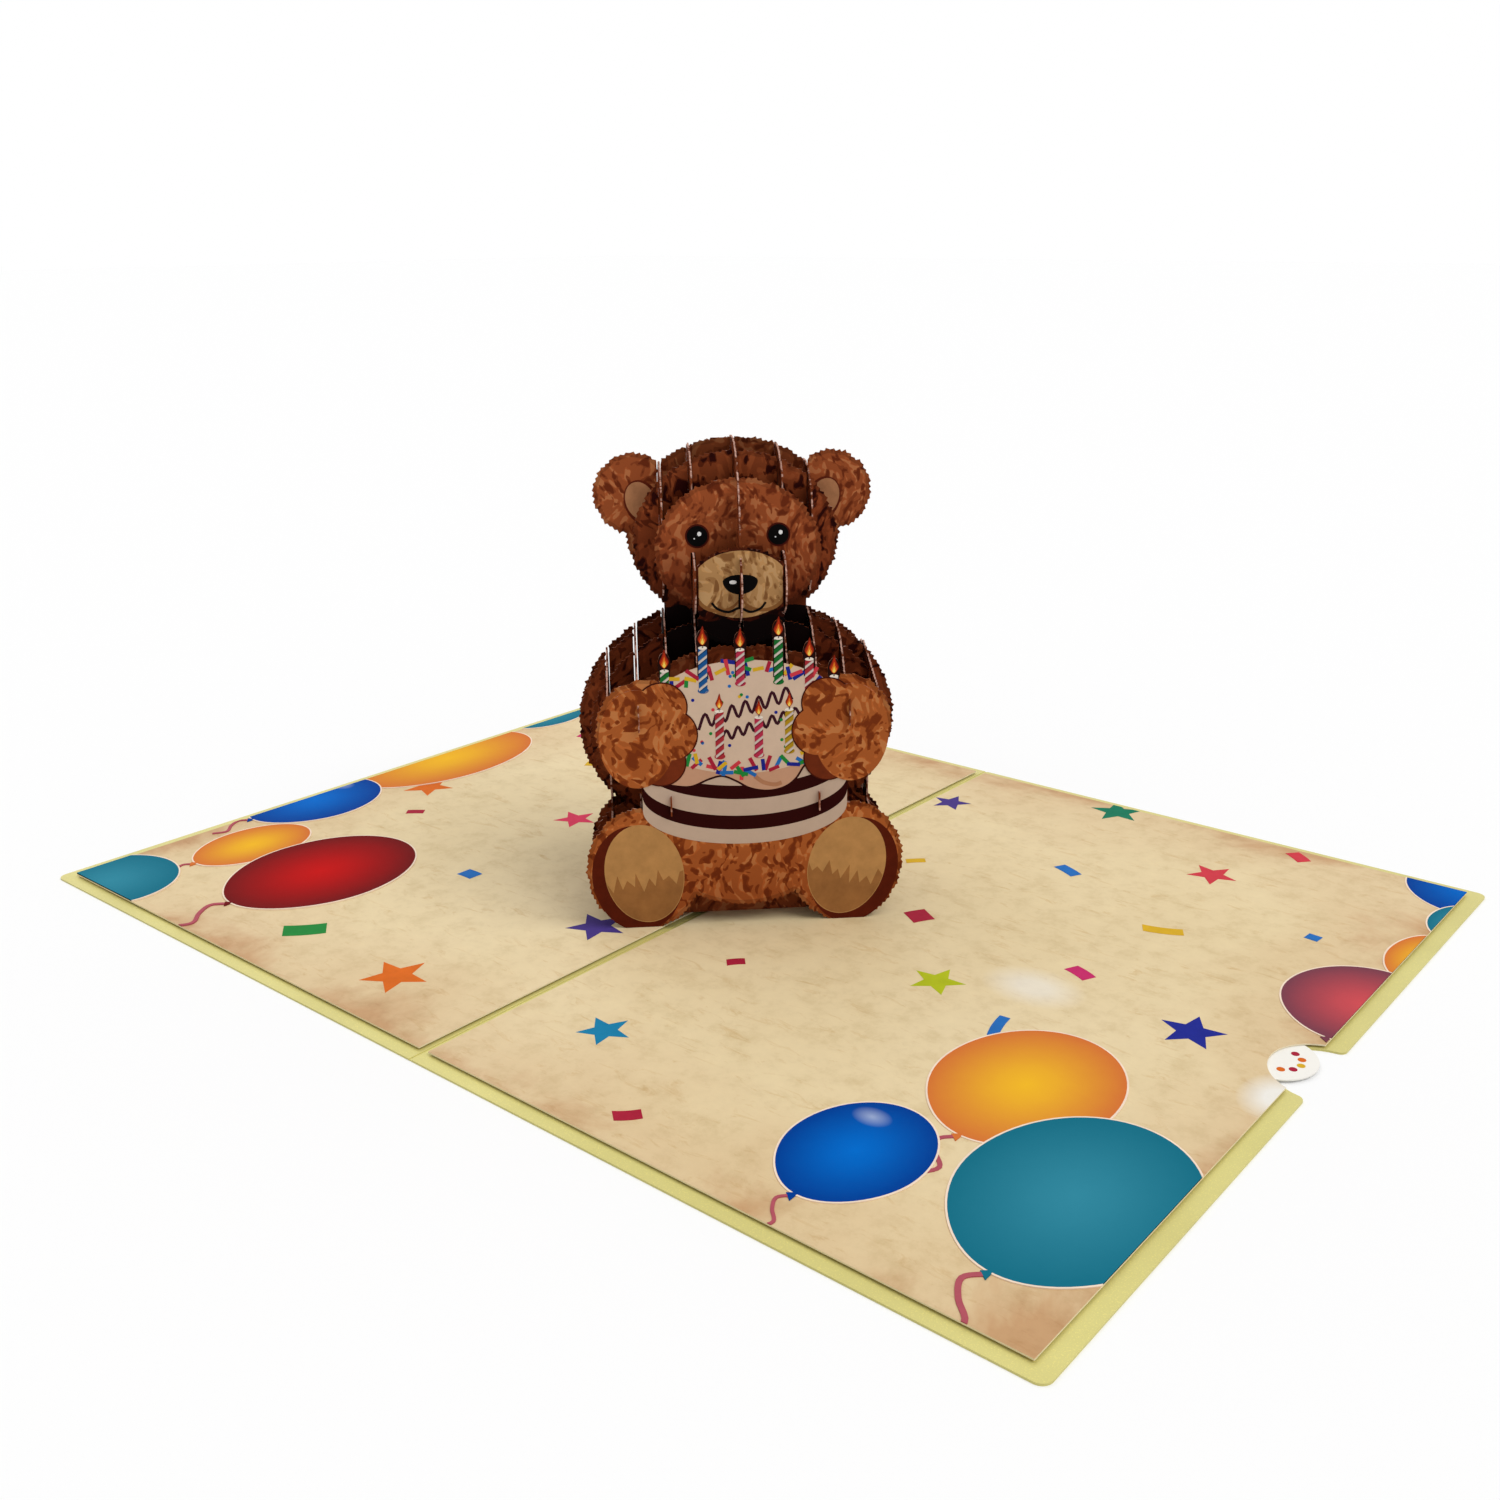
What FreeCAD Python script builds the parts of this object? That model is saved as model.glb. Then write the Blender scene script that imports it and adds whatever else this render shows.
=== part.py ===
# Birthday pop up card, lying open: a folded cover, two pages, a pull out message card
# and a seated bear built from two families of interlocked paper slices.
#
# Millimetres. X runs across the open card (+X is the leaf with the message card),
# Y along the fold, Z up from the table. The origin is under the middle of the fold.
# Face slices stand at 45 degrees to the fold and are numbered from the front; side
# slices cross them at right angles and are numbered -4 to 4. Left and right are as
# seen by someone who looks the bear in the face.
import FreeCAD, Part
import math
import os
from FreeCAD import Vector

doc = FreeCAD.newDocument("PopUpCard")
sheet = doc.addObject("Spreadsheet::Sheet", "Sizes")

SIZES = [
    # cover and pages
    ("leaf_width", 130.0), ("leaf_length", 196.0), ("cover_paper", 0.4),
    ("cover_corner_radius", 2.0), ("crease_width", 0.8), ("crease_depth", 0.12),
    ("page_width", 125.2), ("page_length", 190.0), ("page_paper", 0.3), ("gutter_width", 2.6),
    # pocket between page and cover, and what slides in it
    ("pocket_gap", 0.4), ("strip_width", 7.0), ("strip_inset", 1.5), ("pocket_depth", 82.0),
    ("message_paper", 0.25), ("message_length", 66.0), ("message_side_play", 1.5),
    ("message_end_play", 1.0), ("message_tab_width", 16.0), ("message_tab_setback", 1.6),
    ("page_notch_radius", 9.9), ("cover_notch_radius", 9.4), ("notch_corner_radius", 1.5),
    ("message_corner_radius", 3.0),
    # slices and the way they lock
    ("slice_paper", 0.3), ("slot_play", 0.35), ("slot_end_play", 0.2),
    ("face_pitch", 6.4), ("side_pitch", 6.2), ("first_side", 9.3), ("bear_along_fold", -6.0),
    ("front_play", 0.25), ("head_play", 0.8),
    ("edge_margin", 1.6), ("fur_depth", 0.5), ("fur_pitch", 3.8), ("smallest_hole", 12.0),
    # tabs through the pages
    ("foot_tab_width", 4.0), ("foot_tab_turn", 5.0), ("slit_play", 0.25),
    # tabs that carry the front slice
    ("tab_reach", 1.2), ("paw_tab_height", 44.0), ("paw_tab_tall", 5.5),
    ("lap_tab_height", 25.5), ("lap_tab_tall", 4.0), ("tab_play", 0.5),
    # trunk
    ("trunk_half_width", 34.5), ("trunk_half_depth", 24.0), ("trunk_half_height", 27.0),
    ("trunk_height", 39.5), ("trunk_depth", -6.0),
    ("hip_half_width", 28.0), ("hip_half_depth", 21.0), ("hip_half_height", 15.0), ("hip_height", 12.0),
    ("neck_half_depth", 11.0), ("neck_depth", -9.0), ("neck_bottom", 54.0), ("neck_top", 72.0),
    # head
    ("head_half_width", 22.8), ("head_half_depth", 19.5), ("head_half_height", 19.8),
    ("head_height", 80.3), ("face_drop", 0.95), ("ear_radius", 8.6), ("ear_out", 21.0), ("ear_height", 88.4),
    ("muzzle_half_width", 10.8), ("muzzle_half_height", 8.2), ("muzzle_half_depth", 9.5),
    ("muzzle_height", 71.8), ("muzzle_depth", 4.0), ("chin_height", 65.0), ("chin_half_height", 5.0),
    # limbs
    ("flank_half_depth", 9.0), ("flank_half_height", 14.0),
    ("leg_out", 21.5), ("leg_radius", 12.0), ("leg_height", 12.6),
    ("arm_out", 24.0), ("arm_radius", 9.5), ("shoulder_height", 48.0), ("paw_height", 44.0),
    ("paw_out", 20.5), ("paw_half_width", 10.0), ("paw_half_height", 11.0),
    ("foot_out", 21.4), ("foot_half_width", 12.1), ("foot_half_height", 13.8), ("foot_height", 13.3),
    ("lap_half_depth", 16.0), ("lap_half_height", 14.0), ("lap_height", 23.0), ("lap_depth", 3.0),
    # cake on the front slice
    ("cake_half_width", 21.4), ("cake_top_height", 46.2), ("cake_top_rise", 12.2),
    ("cake_base_height", 26.5), ("cake_base_rise", 8.2), ("belly_half_width", 17.0),
    ("belly_height", 17.0), ("belly_half_height", 12.4),
    ("candle_width", 2.2), ("flame_half_width", 1.3), ("flame_half_height", 2.6),
]
for row, (name, value) in enumerate(SIZES, start=1):
    sheet.set("A%d" % row, name)
    sheet.set("B%d" % row, str(value))
    sheet.setAlias("B%d" % row, name)
doc.recompute()


def size(name):
    return float(sheet.get(name))


# heights of the layers, bottom to top
COVER_TOP = "Sizes.cover_paper"
PAGE_UNDER = "(Sizes.cover_paper + Sizes.pocket_gap)"
PAGE_TOP = "(Sizes.cover_paper + Sizes.pocket_gap + Sizes.page_paper)"


def bind(obj, **formulas):
    """Bind properties of an object; Base_x stands for Placement.Base.x."""
    for key, formula in formulas.items():
        path = key.replace("Base_", "Placement.Base.") if key.startswith("Base_") else key
        obj.setExpression(path, formula)


def box(name, x, y, z, length, width, height):
    solid = doc.addObject("Part::Box", name)
    bind(solid, Length=length, Width=width, Height=height, Base_x=x, Base_y=y, Base_z=z)
    return solid


def cylinder(name, x, y, z, radius, height):
    solid = doc.addObject("Part::Cylinder", name)
    bind(solid, Radius=radius, Height=height, Base_x=x, Base_y=y, Base_z=z)
    return solid


def fuse(name, pieces):
    joined = doc.addObject("Part::MultiFuse", name)
    joined.Shapes = pieces
    joined.Refine = True
    return joined


def cut(name, base, tools):
    result = doc.addObject("Part::Cut", name)
    result.Base = base
    result.Tool = tools[0] if len(tools) == 1 else fuse(name + "_tools", tools)
    result.Refine = True
    return result


def round_upright_edges(name, base, radius_name, where):
    """Round the upright edges of base whose middle passes the test where(x, y)."""
    doc.recompute()
    picked = []
    for index, edge in enumerate(base.Shape.Edges, start=1):
        low, high = edge.BoundBox.ZMin, edge.BoundBox.ZMax
        upright = edge.BoundBox.XLength < 1e-6 and edge.BoundBox.YLength < 1e-6 and high - low > 0.05
        if upright and where(edge.BoundBox.Center.x, edge.BoundBox.Center.y):
            picked.append((index, size(radius_name), size(radius_name)))
    rounded = doc.addObject("Part::Fillet", name)
    rounded.Base = base
    rounded.Edges = picked
    return rounded


# the parts that are handed over: label and the object that ends each of them
NODES = []


def node(label, obj):
    obj.Label = label
    NODES.append((label, obj))
    return obj


# Cover: one sheet, scored along the fold on the inside, with a thumb notch.
sheet_of_card = box("cover_sheet", "-Sizes.leaf_width", "-Sizes.leaf_length / 2", "0",
                    "2 * Sizes.leaf_width", "Sizes.leaf_length", "Sizes.cover_paper")
rounded_sheet = round_upright_edges("cover_rounded", sheet_of_card, "cover_corner_radius",
                                    lambda x, y: True)
score = box("cover_score", "-Sizes.crease_width / 2", "-Sizes.leaf_length",
            "Sizes.cover_paper - Sizes.crease_depth", "Sizes.crease_width",
            "2 * Sizes.leaf_length", "Sizes.cover_paper")
cover_notch = cylinder("cover_thumb_notch", "Sizes.leaf_width", "0", "-Sizes.cover_paper",
                       "Sizes.cover_notch_radius", "3 * Sizes.cover_paper")
notched_sheet = cut("cover_notched", rounded_sheet, [score, cover_notch])
node("cover", round_upright_edges(
    "cover_notch_rounded", notched_sheet, "notch_corner_radius",
    lambda x, y: x > size("leaf_width") - 0.1 and abs(y) < size("cover_notch_radius") + 0.1))

# Where the slices stand. Along U is across the bear, along N is towards its face.
TURN = math.radians(45)
SLICE_OF_FACE = {1: "front_slice", 2: "belly_slice", 3: "chest_slice", 4: "brow_slice",
                 5: "ear_slice", 6: "back_slice"}
HEAD_ONLY = {"muzzle_slice": 2, "face_slice": 3}
SIDES = range(-4, 5)


def face_depth(k):
    """Distance of face slice k in front of the middle of the lattice."""
    return (3.5 - k) * size("face_pitch")


def side_out(j):
    """Distance of side slice j from the middle: the pair beside the spine stands wider."""
    out = size("first_side") + (abs(j) - 1) * size("side_pitch") if j else 0.0
    return math.copysign(out, j)


def world(across, depth):
    """World X and Y of a point given across the bear and towards its face."""
    x = (across + depth) * math.cos(TURN)
    y = size("bear_along_fold") + (across - depth) * math.sin(TURN)
    return x, y


# Foot tabs: two on each leaf, in pairs that are alike when the bear is turned half round.
TAB_OUT = (side_out(2) + side_out(3)) / 2
FACE_TABS = {5: -TAB_OUT, 2: TAB_OUT}                             # face slice: middle of its tab
SIDE_TABS = {-3: -size("face_pitch"), 3: size("face_pitch")}      # side slice: middle of its tab


def slit(name, across, depth, along_face):
    """A slit for one foot tab, turned like its slice."""
    length = size("foot_tab_width") + 2 * size("slit_play")
    breadth = size("slice_paper") + 2 * size("slit_play")
    x, y = world(across, depth)
    tool = doc.addObject("Part::Box", name)
    bind(tool, Length="Sizes.foot_tab_width + 2 * Sizes.slit_play",
         Width="Sizes.slice_paper + 2 * Sizes.slit_play", Height="4 * Sizes.page_paper")
    turn = FreeCAD.Rotation(Vector(0, 0, 1), 45 if along_face else -45)
    corner = turn.multVec(Vector(-length / 2, -breadth / 2, 0))
    lift = size("cover_paper") + size("pocket_gap") - size("page_paper")
    tool.Placement = FreeCAD.Placement(Vector(x, y, lift) + corner, turn)
    return tool


slits = {-1: [], 1: []}
for k, place in FACE_TABS.items():
    slits[1 if place > 0 else -1].append(
        slit("slit_face_%d" % k, place, face_depth(k), True))
for j, place in SIDE_TABS.items():
    slits[1 if place > 0 else -1].append(
        slit("slit_side_%s%d" % ("left" if j < 0 else "right", abs(j)), side_out(j), place, False))

# Pages
left_sheet = box("left_page_sheet", "-Sizes.gutter_width / 2 - Sizes.page_width",
                 "-Sizes.page_length / 2", PAGE_UNDER, "Sizes.page_width", "Sizes.page_length",
                 "Sizes.page_paper")
node("left_page", cut("left_page_cut", left_sheet, slits[-1]))

right_sheet = box("right_page_sheet", "Sizes.gutter_width / 2", "-Sizes.page_length / 2",
                  PAGE_UNDER, "Sizes.page_width", "Sizes.page_length", "Sizes.page_paper")
page_notch = cylinder("page_thumb_notch", "Sizes.leaf_width", "0", "Sizes.cover_paper",
                      "Sizes.page_notch_radius",
                      "2 * (Sizes.pocket_gap + Sizes.page_paper)")
node("right_page", cut("right_page_cut", right_sheet, slits[1] + [page_notch]))

# Mounting strips hold the pages off the cover; the right ones leave the outer edge open.
left_outer = box("left_strip_outer",
                 "-Sizes.gutter_width / 2 - Sizes.page_width + Sizes.strip_inset",
                 "-Sizes.page_length / 2 + Sizes.strip_inset", COVER_TOP,
                 "Sizes.page_width - 2 * Sizes.strip_inset",
                 "Sizes.page_length - 2 * Sizes.strip_inset", "Sizes.pocket_gap")
left_inner = box("left_strip_inner",
                 "-Sizes.gutter_width / 2 - Sizes.page_width + Sizes.strip_inset"
                 " + Sizes.strip_width",
                 "-Sizes.page_length / 2 + Sizes.strip_inset + Sizes.strip_width", "0",
                 "Sizes.page_width - 2 * (Sizes.strip_inset + Sizes.strip_width)",
                 "Sizes.page_length - 2 * (Sizes.strip_inset + Sizes.strip_width)",
                 "Sizes.cover_paper + 2 * Sizes.pocket_gap")
node("left_page_strips", cut("left_strips_cut", left_outer, [left_inner]))

POCKET_BOTTOM = "(Sizes.gutter_width / 2 + Sizes.page_width - Sizes.pocket_depth)"
right_outer = box("right_strip_outer", "Sizes.gutter_width / 2 + Sizes.strip_inset",
                  "-Sizes.page_length / 2 + Sizes.strip_inset", COVER_TOP,
                  "Sizes.page_width - 2 * Sizes.strip_inset",
                  "Sizes.page_length - 2 * Sizes.strip_inset", "Sizes.pocket_gap")
fold_side = box("right_strip_fold_side",
                "Sizes.gutter_width / 2 + Sizes.strip_inset + Sizes.strip_width",
                "-Sizes.page_length / 2 + Sizes.strip_inset + Sizes.strip_width", "0",
                "Sizes.page_width - Sizes.pocket_depth - Sizes.strip_inset"
                " - 2 * Sizes.strip_width",
                "Sizes.page_length - 2 * (Sizes.strip_inset + Sizes.strip_width)",
                "Sizes.cover_paper + 2 * Sizes.pocket_gap")
pocket = box("right_strip_pocket", POCKET_BOTTOM,
             "-Sizes.page_length / 2 + Sizes.strip_inset + Sizes.strip_width", "0",
             "2 * Sizes.pocket_depth",
             "Sizes.page_length - 2 * (Sizes.strip_inset + Sizes.strip_width)",
             "Sizes.cover_paper + 2 * Sizes.pocket_gap")
node("right_page_strips", cut("right_strips_cut", right_outer, [fold_side, pocket]))

# Message card: a loose sheet in the pocket, with a round pull tab in the notch.
MESSAGE_LIFT = "(Sizes.cover_paper + (Sizes.pocket_gap - Sizes.message_paper) / 2)"
MESSAGE_IN = "(Sizes.gutter_width / 2 + Sizes.page_width - Sizes.pocket_depth + Sizes.message_end_play)"
MESSAGE_HALF = ("(Sizes.page_length / 2 - Sizes.strip_inset - Sizes.strip_width"
                " - Sizes.message_side_play)")
message_sheet = box("message_sheet", MESSAGE_IN, "-" + MESSAGE_HALF, MESSAGE_LIFT,
                    "Sizes.message_length", "2 * " + MESSAGE_HALF, "Sizes.message_paper")
tab_middle = "(Sizes.leaf_width - Sizes.message_tab_setback - Sizes.message_tab_width / 2)"
tab_neck = box("message_tab_neck", MESSAGE_IN + " + Sizes.message_length / 2",
               "-Sizes.message_tab_width / 2", MESSAGE_LIFT,
               tab_middle + " - " + MESSAGE_IN + " - Sizes.message_length / 2",
               "Sizes.message_tab_width", "Sizes.message_paper")
tab_end = cylinder("message_tab_end", tab_middle, "0", MESSAGE_LIFT,
                   "Sizes.message_tab_width / 2", "Sizes.message_paper")
rounded_message = round_upright_edges("message_rounded", message_sheet, "message_corner_radius",
                                      lambda x, y: True)
node("message_card", fuse("message_card_sheet", [rounded_message, tab_neck, tab_end]))


# Outlines of the slices, drawn flat as (across or depth, height above the page).
def closed_face(points):
    corners = [Vector(x, y, 0) for x, y in points]
    return Part.Face(Part.makePolygon(corners + corners[:1]))


def smooth(cx, cz, rx, rz):
    """A round lobe with a clean edge."""
    if rx >= rz:
        curve = Part.Ellipse(Vector(cx, cz, 0), rx, rz) if rx > rz else Part.Circle(
            Vector(cx, cz, 0), Vector(0, 0, 1), rx)
    else:
        curve = Part.Ellipse(Vector(cx, cz + rz, 0), Vector(cx + rx, cz, 0), Vector(cx, cz, 0))
    return Part.Face(Part.Wire([curve.toShape()]))


def furry(cx, cz, rx, rz):
    """A round lobe whose edge is cut into combed tufts of fur."""
    around = math.pi * (3 * (rx + rz) - math.sqrt((3 * rx + rz) * (rx + 3 * rz)))
    tufts = max(8, int(around / size("fur_pitch")))
    step = 2 * math.pi / tufts
    points = []
    for i in range(tufts):
        depth = size("fur_depth") * (0.7 + 0.3 * math.sin(4.1 * i))
        for turn, inset in ((i * step, depth), ((i + 0.66) * step, 0.0)):
            points.append((cx + (rx - inset) * math.cos(turn), cz + (rz - inset) * math.sin(turn)))
    return closed_face(points)


def block(x0, x1, z0, z1):
    return closed_face([(x0, z0), (x1, z0), (x1, z1), (x0, z1)])


def straight(edge):
    return isinstance(edge.Curve, Part.Line)


def one_face(pieces):
    """Join flat pieces that share edges or overlap into one face with one clean outline."""
    joined = pieces[0].fuse(pieces[1:]) if len(pieces) > 1 else pieces[0]
    rim = []
    for face in joined.Faces:
        for edge in face.Edges:
            inner = [e for e in rim if e.isSame(edge)]
            if inner:
                rim.remove(inner[0])
            else:
                rim.append(edge)
    loops = []
    for loop in Part.sortEdges(rim):
        ends = Part.Wire(loop).OrderedEdges
        kept = []
        for edge in ends:
            tail, head = edge.firstVertex(True).Point, edge.lastVertex(True).Point
            if straight(edge) and kept and kept[-1][0] == "line":
                before = (kept[-1][2] - kept[-1][1]).normalize()
                if (head - tail).normalize().dot(before) > 1 - 1e-9:
                    kept[-1] = ("line", kept[-1][1], head)
                    continue
            kept.append(("line", tail, head) if straight(edge) else ("curve", edge, None))
        if len(kept) > 1 and kept[0][0] == kept[-1][0] == "line":
            before = (kept[-1][2] - kept[-1][1]).normalize()
            if (kept[0][2] - kept[0][1]).normalize().dot(before) > 1 - 1e-9:
                kept[0] = ("line", kept[-1][1], kept[0][2])
                kept.pop()
        loops.append(Part.Wire([Part.makeLine(a, b) if kind == "line" else a
                                for kind, a, b in kept]))
    loops.sort(key=lambda wire: -wire.BoundBox.DiagonalLength)
    return Part.Face([w for w in loops if w is loops[0] or w.Length > size("smallest_hole")])


def united(lobes):
    """Lobes joined to one outline that stands flat on the page."""
    reach = 4 * size("trunk_half_width")
    above = block(-reach, reach, 0.0, 2 * (size("head_height") + reach))
    return one_face(lobes).common(above).Faces[0]


def section(offset, half):
    """Share of a round form's size that is left at an offset from its middle."""
    return math.sqrt(max(0.0, 1 - (offset / half) ** 2))


slot_half = size("slice_paper") / 2 + size("slot_play")


def skull(k, grow=0.0):
    """The head where face slice k cuts it; it hangs a little lower towards the face."""
    share = section(face_depth(k) - face_depth(5), size("head_half_depth"))
    drop = size("face_drop") * max(0, 5 - k)
    return furry(0, size("head_height") - drop, size("head_half_width") * share + grow,
                 size("head_half_height") * share + grow)


def outline_of_muzzle():
    """Muzzle and chin, which stand between the inner side slices."""
    half = side_out(1) - slot_half
    lobes = [smooth(0, size("muzzle_height"), size("muzzle_half_width"), size("muzzle_half_height")),
             smooth(0, size("chin_height"), half, size("chin_half_height"))]
    between = block(-half, half, 0.0, 2 * size("muzzle_height"))
    return united(lobes).common(between).Faces[0]


def outline_of_face(k):
    depth = face_depth(k)
    trunk = section(depth - size("trunk_depth"), size("trunk_half_depth"))
    hips = section(depth - size("trunk_depth"), size("hip_half_depth") + size("hip_half_width") / 4)
    lobes = [furry(0, size("trunk_height"), size("trunk_half_width") * trunk,
                   size("trunk_half_height") * trunk),
             furry(0, size("hip_height"), size("hip_half_width") * hips, size("hip_half_height"))]
    if k > 3:
        neck = side_out(2) - slot_half
        lobes += [block(-neck, neck, size("neck_bottom"), size("neck_top")), skull(k)]
    if k == 5:
        lobes += [furry(side * size("ear_out"), size("ear_height"), size("ear_radius"),
                        size("ear_radius")) for side in (-1, 1)]
    if k < 5:
        lobes += [furry(side * size("leg_out"), size("leg_height"), size("leg_radius") - 1,
                        size("leg_radius")) for side in (-1, 1)]
    outline = united(lobes)
    if k == HEAD_ONLY["face_slice"]:
        outline = outline.cut(skull(k, size("head_play"))).Faces[0]
    if k == HEAD_ONLY["muzzle_slice"]:
        chin = smooth(0, size("chin_height"), side_out(1), size("chin_half_height") + size("head_play"))
        outline = outline.cut(chin).Faces[0]
    return outline


CANDLES = [(-16.2, 60.4), (-8.4, 65.0), (-0.8, 64.4), (7.0, 66.6), (13.3, 62.0), (18.4, 58.2)]


def outline_of_front():
    """Feet, lower belly, cake with its back row of candles, and both paws."""
    lobes = [smooth(0, size("belly_height"), size("belly_half_width"), size("belly_half_height")),
             smooth(0, size("cake_base_height"), size("cake_half_width"), size("cake_base_rise")),
             block(-size("cake_half_width"), size("cake_half_width"), size("cake_base_height"),
                   size("cake_top_height")),
             smooth(0, size("cake_top_height"), size("cake_half_width"), size("cake_top_rise"))]
    for across, top in CANDLES:
        half = size("candle_width") / 2
        wick = top - size("flame_half_height")
        lobes += [block(across - half, across + half, size("cake_top_height"), wick),
                  smooth(across, wick, size("flame_half_width"), size("flame_half_height"))]
    for side in (-1, 1):
        lobes += [furry(side * size("foot_out"), size("foot_height"), size("foot_half_width"),
                        size("foot_half_height")),
                  furry(side * size("paw_out"), size("paw_height"), size("paw_half_width"),
                        size("paw_half_height"))]
    return united(lobes)


FRONT_LIMIT = face_depth(1) - size("slice_paper") / 2 - size("front_play")


def outline_of_side(j, part):
    """Side profile of the trunk or of the head at side slice j."""
    out = abs(side_out(j))
    lobes = []
    if part == "trunk":
        trunk = section(out, size("trunk_half_width"))
        hips = section(out, size("hip_half_width") + size("leg_radius") / 2)
        lobes += [furry(size("trunk_depth"), size("trunk_height"), size("trunk_half_depth") * trunk,
                        size("trunk_half_height") * trunk),
                  furry(size("trunk_depth") - 1, size("hip_height"), size("hip_half_depth") * hips,
                        size("hip_half_height") * hips)]
        if abs(j) >= 3:
            lobes.append(furry(size("trunk_depth"), (size("leg_height") + size("trunk_height")) / 2,
                               size("flank_half_depth"), size("flank_half_height")))
        if abs(j) <= 2:
            lobes.append(smooth(size("lap_depth"), size("lap_height"), size("lap_half_depth"),
                                size("lap_half_height")))
        leg = section(out - size("leg_out"), size("leg_radius"))
        if leg > 0.3:
            thick = size("leg_radius") * leg
            lobes += [furry(-2.0, size("leg_height"), size("hip_half_depth") - 4, thick),
                      block(0.0, FRONT_LIMIT, size("leg_height") - 0.8 * thick,
                            size("leg_height") + 0.8 * thick)]
        arm = section(out - size("arm_out"), size("arm_radius") + 1)
        if arm > 0.3:
            lobes.append(closed_face([
                (size("trunk_depth"), size("shoulder_height") + 0.9 * size("arm_radius") * arm),
                (size("trunk_depth"), size("shoulder_height") - size("arm_radius") * arm - 4),
                (FRONT_LIMIT, size("paw_height") - 0.75 * size("arm_radius") * arm),
                (FRONT_LIMIT, size("paw_height") + 0.75 * size("arm_radius") * arm)]))
    if part == "head" or abs(j) <= 1:
        share = section(out, size("head_half_width"))
        head = furry(face_depth(5), size("head_height"), size("head_half_depth") * share,
                     size("head_half_height") * share)
        if j:
            behind_face = face_depth(3) - size("slice_paper") / 2 - size("front_play")
            head = head.common(block(-2 * size("trunk_half_depth"), behind_face, 0.0,
                                     2 * size("head_height")))
        lobes.append(head)
    if abs(j) <= 1:
        snout = section(out, 1.3 * size("muzzle_half_width"))
        lobes += [block(size("neck_depth") - size("neck_half_depth"),
                        size("neck_depth") + size("neck_half_depth"), size("neck_bottom"),
                        size("neck_top")),
                  smooth(size("muzzle_depth"), size("muzzle_height"),
                         size("muzzle_half_depth") * snout, size("muzzle_half_height") * snout)]
    behind_front = block(-4 * size("trunk_half_depth"), FRONT_LIMIT, -1.0,
                         2 * size("head_height"))
    return united(lobes).common(behind_front).Faces[0]


def stretches(outline, at):
    """Height ranges that an outline covers on the upright line at a given place."""
    line = Part.makeLine(Vector(at, -5, 0), Vector(at, 2 * size("head_height"), 0))
    found = sorted((e.BoundBox.YMin, e.BoundBox.YMax) for e in outline.common(line).Edges)
    merged = []
    for low, high in found:
        if merged and low - merged[-1][1] < 0.01:
            merged[-1][1] = max(high, merged[-1][1])
        else:
            merged.append([low, high])
    return merged


def trimmed(outline, slot_places):
    """Trim a trunk edge that would be left too narrow to hold beyond a slot."""
    reach, top = 4 * size("trunk_half_width"), size("neck_top")
    for way in (-1, 1):
        trunk = outline.common(block(-reach, reach, -1.0, top)).BoundBox
        edge = trunk.XMax if way > 0 else -trunk.XMin
        for place in slot_places:
            if way * place - slot_half < edge < way * place + slot_half + size("edge_margin"):
                limit = way * place - slot_half - size("slot_end_play")
                waste = block(limit, reach, -1.0, top) if way > 0 else block(-reach, -limit, -1.0, top)
                outline = outline.cut(waste).Faces[0]
                break
    return outline


SIDE_PARTS = [(j, "trunk") for j in SIDES] + [(-2, "head"), (2, "head")]
faces = {k: trimmed(outline_of_face(k), [side_out(j) for j in SIDES])
         for k in SLICE_OF_FACE if k > 1}
faces[1] = outline_of_front()
sides = {key: trimmed(outline_of_side(*key), [face_depth(6)]) for key in SIDE_PARTS}
heads = {"muzzle_slice": outline_of_muzzle(), "face_slice": united([skull(3)])}

# Half lap slots: face slices are open upwards and side slices downwards. Where a slice
# covers two stretches of one crossing, the lap is in the top stretch of the face slice
# and the bottom stretch of the side slice, so that the two can be pushed together.
slots = {key: [] for key in list(faces) + list(heads) + SIDE_PARTS}
over = 3.0


def linked(upright, crossing):
    """Groups of stretches of the two slices that overlap each other."""
    groups = []
    for kind, (low, high) in sorted([(0, pair) for pair in upright] + [(1, pair) for pair in crossing],
                                    key=lambda item: item[1][0]):
        if groups and low < groups[-1]["top"] - 0.01:
            groups[-1][kind].append((low, high))
            groups[-1]["top"] = max(high, groups[-1]["top"])
        else:
            groups.append({0: [], 1: [], "top": high})
            groups[-1][kind].append((low, high))
    return [(group[0], group[1]) for group in groups if group[0] and group[1]]


for k in range(2, 7):
    for key in SIDE_PARTS:
        out, depth = side_out(key[0]), face_depth(k)
        for upright, crossing in linked(stretches(faces[k], out), stretches(sides[key], depth)):
            low, high = max(upright[-1][0], crossing[0][0]), min(upright[-1][1], crossing[0][1])
            middle = (low + high) / 2
            slots[k].append((out - slot_half, out + slot_half, middle - size("slot_end_play"),
                             upright[-1][1] + over))
            slots[key].append((depth - slot_half, depth + slot_half, crossing[0][0] - over,
                               middle + size("slot_end_play")))

# The muzzle and the face drop over the side slices from above: their slots are open
# downwards, and where a side slice ends under the slot's top it needs no slot itself.
for name, k in HEAD_ONLY.items():
    for key in SIDE_PARTS:
        out, depth = side_out(key[0]), face_depth(k)
        for upright, crossing in linked(stretches(heads[name], out), stretches(sides[key], depth)):
            (low, high), (side_low, side_high) = upright[0], crossing[-1]
            if side_high < high - 5.0:
                slots[name].append((out - slot_half, out + slot_half, low - over,
                                    side_high + size("slot_end_play")))
                continue
            middle = (max(low, side_low) + min(high, side_high)) / 2
            slots[name].append((out - slot_half, out + slot_half, low - over,
                                middle + size("slot_end_play")))
            slots[key].append((depth - slot_half, depth + slot_half,
                               middle - size("slot_end_play"), side_high + over))

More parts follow.
